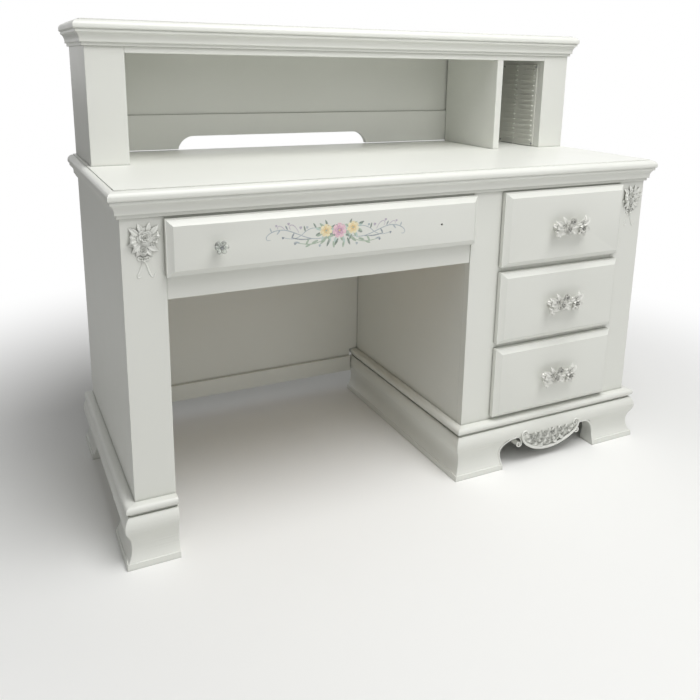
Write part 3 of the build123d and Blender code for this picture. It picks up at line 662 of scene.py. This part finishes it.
def make_floor(scene):
    """Pale floor that fades to white with distance from the desk and keeps its shadow."""
    reach, near, far = 30.0, 0.8, 1.9  # half the floor, and where the fade starts and ends, in metres
    bm = bmesh.new()
    bmesh.ops.create_grid(bm, x_segments=2, y_segments=2, size=reach)
    mesh = bpy.data.meshes.new("floor")
    bm.to_mesh(mesh)
    bm.free()
    floor = bpy.data.objects.new("floor", mesh)
    scene.collection.objects.link(floor)
    material, tree = blank_material("pale_floor_matt")
    place = add_node(tree, "ShaderNodeTexCoord").outputs["Object"]
    distance = add_node(tree, "ShaderNodeVectorMath", {0: place}, operation="LENGTH")
    fade = add_node(tree, "ShaderNodeMapRange", {
        "Value": distance.outputs["Value"], "From Min": near, "From Max": far,
    }, interpolation_type="SMOOTHSTEP")
    matt = add_node(tree, "ShaderNodeBsdfDiffuse", {"Color": linear("#F6F6F4")})
    path = add_node(tree, "ShaderNodeLightPath")
    glow = add_node(tree, "ShaderNodeEmission", {"Color": (1, 1, 1, 1), "Strength": 1.0})
    shown = add_node(tree, "ShaderNodeMath", {
        0: fade.outputs["Result"], 1: path.outputs["Is Camera Ray"],
    }, operation="MULTIPLY")
    blend = add_node(tree, "ShaderNodeMixShader", {
        0: shown.outputs["Value"], 1: matt.outputs["BSDF"], 2: glow.outputs["Emission"],
    })
    close_surface(tree, blend.outputs["Shader"])
    mesh.materials.append(material)


def make_lamps(scene):
    """A large soft lamp above the front edge, and a weaker one that reaches into the hutch."""
    aim = Vector((0.0, 0.0, 0.45))
    # Name, place in metres, width in metres, power in watts
    lamps = (
        ("key_lamp", (0.3, -1.25, 3.4), 2.4, 88),
        ("fill_lamp", (0.5, -2.9, 2.1), 1.6, 13),
    )
    for name, spot, size, power in lamps:
        light = bpy.data.lights.new(name, "AREA")
        light.shape = "DISK"
        light.size = size
        light.energy = power
        lamp = bpy.data.objects.new(name, light)
        lamp.location = spot
        lamp.rotation_mode = "QUATERNION"
        lamp.rotation_quaternion = (aim - Vector(spot)).to_track_quat("-Z", "Y")
        scene.collection.objects.link(lamp)


def make_camera(scene):
    """Standing to the left and in front, looking a little down, with part of the tilt taken by shift."""
    turn, tilt, roll = 26.5675, 13.5359, 0.9201  # degrees
    data = bpy.data.cameras.new("camera")
    data.sensor_width = 36
    data.lens = 38.613
    data.shift_y = -0.152
    camera = bpy.data.objects.new("camera", data)
    camera.location = (-0.8733, -1.6384, 0.9889)
    camera.rotation_mode = "QUATERNION"
    aim = Euler((radians(90 - tilt), 0, radians(-turn))).to_quaternion()
    camera.rotation_quaternion = aim @ Euler((0, 0, radians(roll))).to_quaternion()
    scene.collection.objects.link(camera)
    scene.camera = camera


class DESK_OT_case(bpy.types.Operator):
    """Dress the panels, stiles, rails and backs of the case"""
    bl_idname = "desk.case"
    bl_label = "Case"

    def execute(self, context):
        ease = context.scene.desk_finish.ease
        for name in BOARDS:
            dress(name, ease)
        for name in ("centre_drawer_runners", "side_drawer_runners"):
            finish_node(name)
        # The blocks show through the kneehole, so they have the same coat as the boards
        make_piece("foot_blocks_lacquered", merged("foot_blocks"), "lacquered_wood", "carcass",
                   replaces=("foot_blocks",))
        return {"FINISHED"}


class DESK_OT_mouldings(bpy.types.Operator):
    """Dress the desk top, the cornice and the beads"""
    bl_idname = "desk.mouldings"
    bl_label = "Mouldings"

    def execute(self, context):
        for name in MOULDINGS:
            dress(name, 0.4)
        return {"FINISHED"}


class DESK_OT_bases(bpy.types.Operator):
    """Dress the ogee bracket feet and the apron"""
    bl_idname = "desk.bases"
    bl_label = "Bases"

    def execute(self, context):
        for name in BASES:
            dress(name, 0.8)
        return {"FINISHED"}


class DESK_OT_drawers(bpy.types.Operator):
    """Dress the drawer fronts and boxes"""
    bl_idname = "desk.drawers"
    bl_label = "Drawers"

    def execute(self, context):
        for name in DRAWERS:
            dress(f"{name}_drawer_front", 0.6)
            dress(f"{name}_drawer_box", 0.8)
            finish_node(f"{name}_drawer_bottom")
        return {"FINISHED"}


class DESK_OT_hutch(bpy.types.Operator):
    """Dress the boards of the hutch"""
    bl_idname = "desk.hutch"
    bl_label = "Hutch"

    def execute(self, context):
        for name in HUTCH:
            dress(name, 0.7)
        for name in ("disc_racks", "rack_screws"):
            finish_node(name)
        return {"FINISHED"}


# Each piece of foliage: form, place across and up from the middle, radius or length, turn in degrees
# and depth, in millimetres
PULL_ROSES = (
    ("rose", -10, -4, 19, 10, 13.5),
    ("rose", 5, 13, 11.5, 40, 10),
    ("rose", -29, 7, 9, 80, 8),
)
PULL_LEAVES = (
    ("leaf", -24, 2, 28, 148, 7),
    ("leaf", -22, -2, 34, 166, 6),
    ("leaf", -16, 6, 22, 120, 5),
    ("leaf", -10, -6, 30, 202, 5),
    ("leaf", 0, -8, 26, 332, 6),
    ("leaf", -8, -10, 26, 350, 4),
    ("leaf", 14, 4, 22, 24, 7),
    ("leaf", 28, 2, 27, 58, 8),
    ("leaf", 30, 0, 31, 34, 9),
    ("leaf", 30, -6, 30, 352, 6),
    ("leaf", 26, -8, 26, 318, 5),
    ("curl", -36, -10, 26, 192, 7.5),
    ("curl", -34, -13, 22, 212, 7),
    ("curl", -34, 0, 22, 168, 7),
    ("curl", 14, -10, 20, 330, 7),
)
# Rolled petals of the flower on the right: turn, length, depth
PULL_FLOWER = ((0, 19, 7.6), (60, 18, 7.2), (118, 17, 7.2), (178, 19, 7.6), (240, 18, 7.2), (300, 19, 7.6))

# Posts of a pull, in millimetres: how far each stands from the middle, and how long it is
POST_SIDE = 38
POST_LENGTH = 13


def pull_casting(bm):
    """Spray of roses and leaves on two posts, made lying on its back; its back is at height zero."""
    stem = ((-50, -9, 2), (-38, -3, 3), (-20, -6, 3), (0, -4, 3), (20, -2, 3), (38, -2, 3), (48, 0, 2))
    add_tube(bm, stem, (1.6, 3.2, 3.4, 3.4, 3.4, 3.2, 1.4))
    for kind, x, y, size, turn, depth in PULL_ROSES:
        stamp(bm, form(kind), set_down(x, y, 0, turn, size, depth))
    for kind, x, y, size, turn, depth in PULL_LEAVES:
        stamp(bm, form(kind), set_down(x, y, 0.5, turn, size, depth))
    for turn, size, depth in PULL_FLOWER:
        stamp(bm, form("curl"), set_down(32, -5, 1, turn + 20, size, depth))
    stamp(bm, form("rose"), set_down(32, -5, 2, 50, 8.5, 10.5))
    post = ((0, -POST_LENGTH), (6.5, -POST_LENGTH), (6.5, -12.2), (4.8, -10.5), (4.2, -6), (4.6, -1),
            (5.5, 2), (0, 2))
    for way in (-1, 1):
        add_lathe(bm, post, 20, Matrix.Translation((way * POST_SIDE * MM, 0, 0)))


def pan_head(bm, radius, thick):
    """Pan head of a screw, its flat side at height zero."""
    outline = ((0, 0), (radius, 0), (radius, thick * 0.35), (radius * 0.82, thick * 0.8),
               (radius * 0.45, thick), (radius * 0.42, thick * 0.55), (0, thick * 0.55))
    add_lathe(bm, outline, 24, Matrix.Identity(4))


class DESK_OT_pulls(bpy.types.Operator):
    """Model the three cast rose pulls and their screws"""
    bl_idname = "desk.pulls"
    bl_label = "Rose pulls"

    def execute(self, context):
        wall = 12 * MM  # of the drawer box, that the screws go through
        bm = bmesh.new()
        pull_casting(bm)
        casting = keep_form("casting", bm)
        bm = bmesh.new()
        pan_head(bm, 4.5, 3)
        head = keep_form("screw_head", bm)
        for name in DRAWERS[1:]:
            front_low, front_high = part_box(f"{name}_drawer_front")
            middle = (front_low + front_high) / 2
            bm = bmesh.new()
            stamp(bm, casting, on_face(middle.x, middle.z, DRAWER_FACE - POST_LENGTH * MM))
            make_piece(f"{name}_drawer_rose_pull", bm, "cast_zinc", f"{name}_drawer", 50,
                       (f"{name}_drawer_pull",))
            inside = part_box(f"{name}_drawer_box")[0].y + wall
            bm = bmesh.new()
            for way in (-1, 1):
                spot = Matrix.Translation((middle.x + way * POST_SIDE * MM, inside, middle.z))
                stamp(bm, head, spot @ Matrix.Rotation(-pi / 2, 4, "X"))
            make_piece(f"{name}_drawer_pull_screws", bm, "steel", f"{name}_drawer", 40)
        return {"FINISHED"}


# Foliage of the carving on a stile, with the same values as the foliage of the pulls
BOUQUET = (
    ("leaf", -8, 13, 22, 140, 4),
    ("leaf", -2, 17, 19, 108, 4),
    ("leaf", 8, 18, 18, 74, 4),
    ("leaf", 13, 14, 21, 44, 4),
    ("leaf", 14, 6, 19, 12, 3.5),
    ("leaf", -8, 0, 21, 196, 3.5),
    ("leaf", -6, -6, 20, 222, 4),
    ("leaf", -6, -12, 17, 246, 4),
    ("leaf", 8, -10, 21, 336, 4),
    ("leaf", 6, -16, 16, 310, 4),
    ("curl", -12, 4, 21, 176, 8),
    ("curl", -13, 9, 19, 152, 7),
    ("curl", -11, 0, 17, 206, 6.5),
    ("curl", 18, 12, 17, 16, 7),
    ("curl", 17, 2, 15, 350, 6),
    ("rose", 3, 8, 19, 18, 8.5),
    ("rose", -1, -17, 11, 60, 8),
    ("blossom", 19, -6, 6, 15, 5.5),
    ("blossom", -14, -10, 5, 40, 5),
)
# Height of the ribbon's knot from the middle of the big rose, in millimetres
KNOT_LOW = -34


class DESK_OT_bouquets(bpy.types.Operator):
    """Model the carved bouquets on the outer stiles"""
    bl_idname = "desk.bouquets"
    bl_label = "Stile bouquets"

    def execute(self, context):
        heart = 662 * MM  # middle of the big rose, above the floor
        relief = bmesh.new()
        for kind, x, y, size, turn, depth in BOUQUET:
            stamp(relief, form(kind), set_down(x, y, 0, turn, size, depth))
        add_ribbons(relief)
        whole = keep_form("bouquet", relief)
        bm = bmesh.new()
        for middle in (LEFT_MIDDLE, RIGHT_MIDDLE):
            stamp(bm, whole, on_face(middle, heart, FACE))
        make_piece("stile_bouquets", bm, "painted_carving", "carcass", 50, ("stile_carvings",))
        return {"FINISHED"}


def add_ribbons(bm):
    """Knot, bow loops and two tails that hook up at their ends."""
    # Points across and up from the knot
    tails = (
        ((-1, 0), (-4, -11), (-8, -22), (-14, -31), (-10, -36), (-5, -32)),
        ((1, 0), (5, -12), (9, -26), (14, -36), (19, -33), (21, -27)),
    )
    bow = ((0, 0), (5, 5), (10, 5), (11, 0), (6, -3), (0, 0))
    for tail in tails:
        line = [(x, KNOT_LOW + y) for x, y in tail]
        add_tube(bm, line, (1.3, 1.7, 1.9, 1.6, 1.4, 1.1), flat=0.7)
    for way in (-1, 1):
        loop = [(x * way, KNOT_LOW + y) for x, y in bow]
        add_tube(bm, loop, (1.6, 2.2, 2.2, 2.2, 2.0, 1.4), flat=0.9)
    stamp(bm, form("blossom"), set_down(0, KNOT_LOW + 1, 0, 0, 4.5, 6))


# Drop under the apron, in millimetres above the floor: its lowest point, the radius of its lower arc,
# half the angle of that arc, and the top of the arches beside it
BELLY_LOW = 24.5
BELLY_RADIUS = 122.7
BELLY_HALF_ANGLE = radians(48.6)
ARCH_TOP = 77.5

# Roses of the drop: place across from its middle, height above the floor, radius
UPPER_ROSES = ((-59, 10), (-38, 12.5), (-13, 14), (13, 13), (38, 12.5), (59, 10))
LOWER_ROSES = ((-25, 46, 11), (0, 42, 12), (25, 46, 11), (-46, 54, 9), (46, 54, 9))
# Leaves of the drop: place, turn in degrees, length
DROP_LEAVES = (
    (-66, 70, 150, 17), (66, 70, 30, 17), (-48, 72, 108, 15), (48, 72, 72, 15), (-25, 74, 98, 14),
    (25, 74, 82, 14), (-3, 74, 96, 14), (4, 74, 70, 14), (-15, 40, 190, 20), (15, 40, 350, 20),
    (-36, 48, 196, 18), (36, 48, 344, 18), (-60, 62, 190, 15), (60, 62, 350, 15), (-12, 56, 250, 16),
    (12, 56, 290, 16), (-36, 58, 300, 14), (36, 58, 240, 14),
)


@lru_cache
def apron_tree():
    """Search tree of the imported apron's faces."""
    bm = merged("pedestal_base_front")
    tree = BVHTree.FromBMesh(bm)
    bm.free()
    return tree


def ogee_out(z):
    """How far the face of the apron's ogee stands out at a height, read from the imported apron."""
    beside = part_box("pedestal_base_front")[0].x + 60 * MM
    place = apron_tree().ray_cast(Vector((beside, -1, z * MM)), Vector((0, 1, 0)))[0]
    if place is None:
        raise RuntimeError("the apron's face was not found")
    return (FACE - place.y) / MM


class DESK_OT_apron(bpy.types.Operator):
    """Model the carved drop under the apron and the bead along its cut-out"""
    bl_idname = "desk.apron"
    bl_label = "Apron carving"

    def execute(self, context):
        bm = bmesh.new()
        add_belly(bm)
        add_rim(bm)
        for way in (-1, 1):
            add_edge_bead(bm, way)
        add_drop_flowers(bm)
        bmesh.ops.recalc_face_normals(bm, faces=bm.faces)
        bmesh.ops.transform(bm, matrix=on_face(PEDESTAL_MIDDLE, 0, FACE), verts=bm.verts)
        make_piece("apron_drop_carved", bm, "painted_carving", "carcass", 50, ("apron_carving",))
        return {"FINISHED"}


def belly_point(angle, inset):
    """Point of the belly's arc, in millimetres from the middle of the apron and the floor."""
    radius = BELLY_RADIUS - inset
    return (radius * sin(angle), BELLY_LOW + BELLY_RADIUS - radius * cos(angle))


def belly_out(z):
    """The drop leans out with the ogee above it."""
    return 12 + (z - BELLY_LOW) * 0.17


def add_belly(bm):
    """Lens of wood behind the flowers."""
    steps = 24
    outline = [belly_point(BELLY_HALF_ANGLE * (2 * i / steps - 1), 2) for i in range(steps + 1)]
    outline += [(97, ARCH_TOP), (-97, ARCH_TOP)]
    verts = [bm.verts.new((x * MM, y * MM, -4 * MM)) for x, y in outline]
    back = bm.faces.new(verts)
    raised = bmesh.ops.extrude_face_region(bm, geom=[back])["geom"]
    for vert in (item for item in raised if isinstance(item, bmesh.types.BMVert)):
        vert.co.z = belly_out(vert.co.y / MM) * MM


def add_rim(bm):
    """C-scroll along the belly that winds up into a snail at each end."""
    steps = 18
    snail = (83, 83)  # middle of the right one, across from the apron's middle and above the floor
    arc = [belly_point(BELLY_HALF_ANGLE * 0.94 * (2 * i / steps - 1), 2) for i in range(steps + 1)]
    right = spiral(*snail, 11, -35, 1.6)
    left = [(-x, y) for x, y in reversed(right)]
    line = left + arc + right
    radii = [1.5 + 1.6 * i / len(left) for i in range(len(left))]
    belly_radii = [3.1 + 1.5 * cos(pi * (i / steps - 0.5)) for i in range(steps + 1)]
    heights = [min(belly_out(y) + 3.5 + (y - BELLY_LOW) * 0.09, 25.5) for x, y in line]
    points = [(x, y, h) for (x, y), h in zip(line, heights)]
    add_tube(bm, points, radii + belly_radii + radii[::-1], sides=4)
    for way in (-1, 1):
        stamp(bm, form("blossom"), set_down(snail[0] * way, snail[1], 24.5, 0, 4, 5))


def add_edge_bead(bm, way):
    """Bead from the heel of a foot, over the arch and down into the hanging volute."""
    edge = ((150.5, 3), (150.6, 10), (152.6, 22), (154, 38), (151.5, 50), (144, 61.5), (133, 71),
            (119, 78.5), (107, 79), (96, 75), (89.5, 67))
    eye_x, eye_y = 96, 55  # middle of the hanging volute
    volute = spiral(eye_x, eye_y, 8.5, 165, 1.35, steps=14)
    line = [(x * way, y) for x, y in (*edge, *volute)]
    radii = [2.3] * len(edge) + [2.4 - 0.7 * i / len(volute) for i in range(len(volute))]
    points = []
    for i, (x, y) in enumerate(line):
        out = ogee_out(max(y, 1)) - 0.3 if i < len(edge) - 2 else 17.5
        points.append((x, y, out))
    add_tube(bm, points, radii)
    stamp(bm, form("blossom"), set_down(eye_x * way, eye_y, 13, 0, 4, 6))
    bmesh.ops.create_cone(bm, cap_ends=True, segments=20, radius1=7 * MM, radius2=6 * MM, depth=20 * MM,
                          matrix=Matrix.Translation((eye_x * way * MM, eye_y * MM, 6 * MM)))


def add_drop_flowers(bm):
    """Two rows of flowers with leaves between them, sunk in the lens."""
    for x, size in UPPER_ROSES:
        y = 69 - (59 - abs(x)) * 0.08
        stamp(bm, form("rose"), set_down(x, y, belly_out(y) - 2, x * 7, size, 9))
    for x, y, size in LOWER_ROSES:
        stamp(bm, form("rose"), set_down(x, y, belly_out(y) - 1, x * 5, size, 8))
    for x, y, turn, size in DROP_LEAVES:
        stamp(bm, form("leaf"), set_down(x, y, belly_out(y) - 1, turn, size, 7))


class DESK_OT_knob(bpy.types.Operator):
    """Model the flower-shaped glass knob and its screw"""
    bl_idname = "desk.knob"
    bl_label = "Glass knob"

    def execute(self, context):
        middle = (knob_low + knob_high) / 2
        stand = on_face(middle.x, middle.z, DRAWER_FACE)
        bm = bmesh.new()
        stem = ((0, 0), (8, 0), (8, 1.2), (7, 2.6), (5.2, 4.5), (4.8, 8), (5.6, 11), (9, 13), (10, 15),
                (9, 18), (6, 20), (0, 20))
        add_lathe(bm, stem, 32, Matrix.Identity(4))
        for i in range(6):
            angle = tau * i / 6
            lobe = bmesh.ops.create_uvsphere(bm, u_segments=16, v_segments=10, radius=1)["verts"]
            squash = Matrix.Diagonal((6.6 * MM, 5.2 * MM, 3.4 * MM, 1))
            spot = Matrix.Translation((8 * MM * cos(angle), 8 * MM * sin(angle), 17.6 * MM))
            lean = Euler((0, radians(-24), angle)).to_matrix().to_4x4()
            bmesh.ops.transform(bm, matrix=spot @ lean @ squash, verts=lobe)
        bmesh.ops.recalc_face_normals(bm, faces=bm.faces)
        bmesh.ops.transform(bm, matrix=stand, verts=bm.verts)
        make_piece("flower_knob", bm, "knob_glass", "centre_drawer", 50, ("knob",))
        bm = bmesh.new()
        inside = (DRAWER_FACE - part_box("knob_screw")[1].y) / MM
        screw = ((0, inside), (3.6, inside), (3.6, inside + 1.5), (2.6, inside + 2.4), (1.9, inside + 2.5),
                 (1.9, 19.4), (3.4, 19.4), (3.4, 20.6), (3.0, 21.2), (2.5, 21.2), (2.2, 20.6), (1.6, 20),
                 (1.6, 14), (0, 14))
        add_lathe(bm, screw, 24, Matrix.Identity(4))
        bmesh.ops.transform(bm, matrix=stand, verts=bm.verts)
        make_piece("flower_knob_screw", bm, "steel", "centre_drawer", 40, ("knob_screw",))
        return {"FINISHED"}


# Colours of the paint, by name
PIGMENTS = {
    "rose pink": "#DBA9BF", "deep pink": "#B98AA8", "pale pink": "#EBC6CF", "yellow": "#EED9A0",
    "ochre": "#DDBB78", "cream": "#F2E6BF", "leaf": "#9DB09A", "dark leaf": "#6F8074",
    "vine": "#A3ADB4", "dark vine": "#7D8790", "lilac": "#B3A8B8", "teal": "#B4C9C2",
}
# Right half of the spray, in millimetres from its middle: stalks with colour, width and line
SPRAY_STALKS = (
    ("vine", 1.0, ((18, -6), (40, -14), (66, -11), (92, 0), (118, 10), (142, 8), (158, -2), (156, -12),
                   (148, -10))),
    ("vine", 0.8, ((30, 6), (52, 12), (72, 6), (84, -6), (104, -12), (122, -6))),
    ("dark vine", 1.2, ((60, -12), (78, -13), (96, -10), (104, -7))),
    ("lilac", 0.8, ((88, 2), (94, 14), (104, 20), (110, 15), (106, 9))),
    ("lilac", 0.7, ((118, 10), (126, 18), (134, 17), (133, 11))),
    ("leaf", 0.9, ((24, -12), (46, -22), (70, -24), (92, -19))),
)
# Leaves with colour, root, length, turn in degrees and width
SPRAY_LEAVES = (
    ("leaf", 26, -10, 20, 318, 5), ("dark leaf", 20, -14, 17, 292, 4), ("leaf", 30, 8, 17, 42, 4.5),
    ("dark leaf", 24, 12, 15, 66, 3.5), ("leaf", 46, -16, 15, 340, 4), ("dark leaf", 50, 10, 12, 58, 3),
    ("leaf", 66, -12, 14, 300, 3.5), ("dark leaf", 74, 4, 12, 76, 3), ("leaf", 62, -23, 13, 338, 3.5),
    ("vine", 86, -19, 12, 12, 3), ("dark vine", 98, 2, 11, 300, 3), ("dark vine", 112, 9, 10, 62, 2.6),
    ("vine", 128, 9, 11, 310, 2.6), ("leaf", 12, -20, 14, 262, 4), ("vine", 146, 6, 9, 70, 2.4),
)
# Buds with place, radius and colour
SPRAY_BUDS = (
    (84, 12, 3.4, "lilac"), (110, 21, 3, "lilac"), (70, 12, 2.8, "vine"), (96, -20, 3, "dark vine"),
    (122, -7, 2.8, "dark vine"), (136, 18, 2.6, "lilac"), (42, -27, 3, "vine"),
)


def brush(bm, name, points, widths, layer=0):
    """One stroke of the brush: thin, round-ended and swelling; a later layer lies over the earlier ones."""
    start = len(bm.verts)
    add_tube(bm, points, widths, flat=0.03, height=0.07 * layer, sides=2)
    bm.verts.ensure_lookup_table()
    pigment = bm.verts.layers.float_color["pigment"]
    colour = linear(PIGMENTS[name])
    for vert in bm.verts[start:]:
        vert[pigment] = colour


def dab(bm, name, x, y, length, turn, width, layer=1, blunt=0.08):
    """Leaf or petal in one pressed stroke from its root outwards."""
    way = (cos(radians(turn)), sin(radians(turn)))
    points = [(x + way[0] * length * share, y + way[1] * length * share) for share in (0, 0.3, 0.75, 1)]
    brush(bm, name, points, (width * 0.25, width * 0.6, width * 0.6, width * blunt), layer)


def painted_rose(bm, x, y, radius, shades):
    """Rose in three rings of petals, the outer ones palest, with a fringe of leaves under it."""
    for i in range(12):
        turn = 150 + 240 * i / 11
        reach = radius * (0.75 + 0.15 * (i % 3))
        start = (x + reach * cos(radians(turn)), y + reach * sin(radians(turn)))
        name = ("leaf", "teal", "dark leaf")[i % 3]
        dab(bm, name, *start, radius * (0.75 + 0.2 * (i % 2)), turn + 18 * (-1) ** i, radius * 0.26)
    rings = ((0.95, 7, 0.5, shades[0]), (0.66, 5, 0.46, shades[1]), (0.36, 3, 0.4, shades[2]))
    for layer, (reach, count, width, shade) in enumerate(rings, start=2):
        for i in range(count):
            turn = 360 * i / count + 40 * reach
            root = radius * reach * 0.25
            start = (x + root * cos(radians(turn)), y + root * sin(radians(turn)))
            dab(bm, shade, *start, radius * reach * 0.75, turn, radius * width, layer, blunt=0.5)
    for reach, first, last in ((0.84, 1, 8), (0.8, 11, 19), (0.55, 6, 14), (0.5, 18, 25), (0.25, 1, 14)):
        ring = radius * reach
        arc = [(x + ring * cos(a / 4), y + ring * sin(a / 4)) for a in range(first, last)]
        brush(bm, shades[2], arc, [0.35] * len(arc), 5)
    brush(bm, shades[3], [(x - radius * 0.12, y), (x, y), (x + radius * 0.12, y)], [radius * 0.12] * 3, 5)


class DESK_OT_spray(bpy.types.Operator):
    """Paint the rose spray on the centre drawer"""
    bl_idname = "desk.spray"
    bl_label = "Painted spray"

    def execute(self, context):
        bm = bmesh.new()
        bm.verts.layers.float_color.new("pigment")
        # Each half: its side, the slope of its stalks and how far out its cream rose is
        for way, drift, out in ((-1, 0.03, 28), (1, -0.04, 33)):
            for name, width, line in SPRAY_STALKS:
                points = [(x * way, y + drift * x) for x, y in line]
                swell = [width * (0.3 + 0.7 * sin(pi * (i + 1) / (len(line) + 1))) for i in range(len(line))]
                brush(bm, name, points, swell)
            for name, x, y, length, turn, width in SPRAY_LEAVES:
                dab(bm, name, x * way, y + drift * x, length, turn if way > 0 else 180 - turn, width)
            for x, y, radius, name in SPRAY_BUDS:
                for turn in (20, 140, 260):
                    dab(bm, name, x * way, y + drift * x, radius, turn, radius)
            painted_rose(bm, out * way, 5 + way, 14, ("cream", "yellow", "ochre", "leaf"))
        painted_rose(bm, 2, 2, 16.5, ("pale pink", "rose pink", "deep pink", "ochre"))
        middle = (centre_front_low + centre_front_high) / 2
        bmesh.ops.transform(bm, matrix=on_face(middle.x, middle.z + 6 * MM, DRAWER_FACE), verts=bm.verts)
        piece = make_piece("painted_rose_spray", bm, "lacquered_wood", "centre_drawer", 50)
        piece.data.materials[0] = coat(oil_colour_brushed)
        return {"FINISHED"}


STEPS = (
    DESK_OT_stage, DESK_OT_case, DESK_OT_mouldings, DESK_OT_bases, DESK_OT_drawers, DESK_OT_pulls,
    DESK_OT_knob, DESK_OT_spray, DESK_OT_bouquets, DESK_OT_apron, DESK_OT_hutch,
)


class DESK_PT_panel(bpy.types.Panel):
    """Lists the steps that dress the desk"""
    bl_label = "Computer desk"
    bl_idname = "DESK_PT_panel"
    bl_space_type = "VIEW_3D"
    bl_region_type = "UI"
    bl_category = "Desk"

    def draw(self, context):
        for name in DeskFinish.__annotations__:
            self.layout.prop(context.scene.desk_finish, name)
        for step in STEPS:
            self.layout.operator(step.bl_idname)


CLASSES = (DeskFinish, *STEPS, DESK_PT_panel)


def register():
    """Make the classes and their settings known."""
    for cls in CLASSES:
        bpy.utils.register_class(cls)
    bpy.types.Scene.desk_finish = PointerProperty(type=DeskFinish)


def unregister():
    """Take the classes and their settings away again."""
    del bpy.types.Scene.desk_finish
    for cls in reversed(CLASSES):
        bpy.utils.unregister_class(cls)


def main():
    """Dress the whole desk."""
    register()
    for step in STEPS:
        family, action = step.bl_idname.split(".")
        getattr(getattr(bpy.ops, family), action)()


if __name__ == "__main__":
    main()
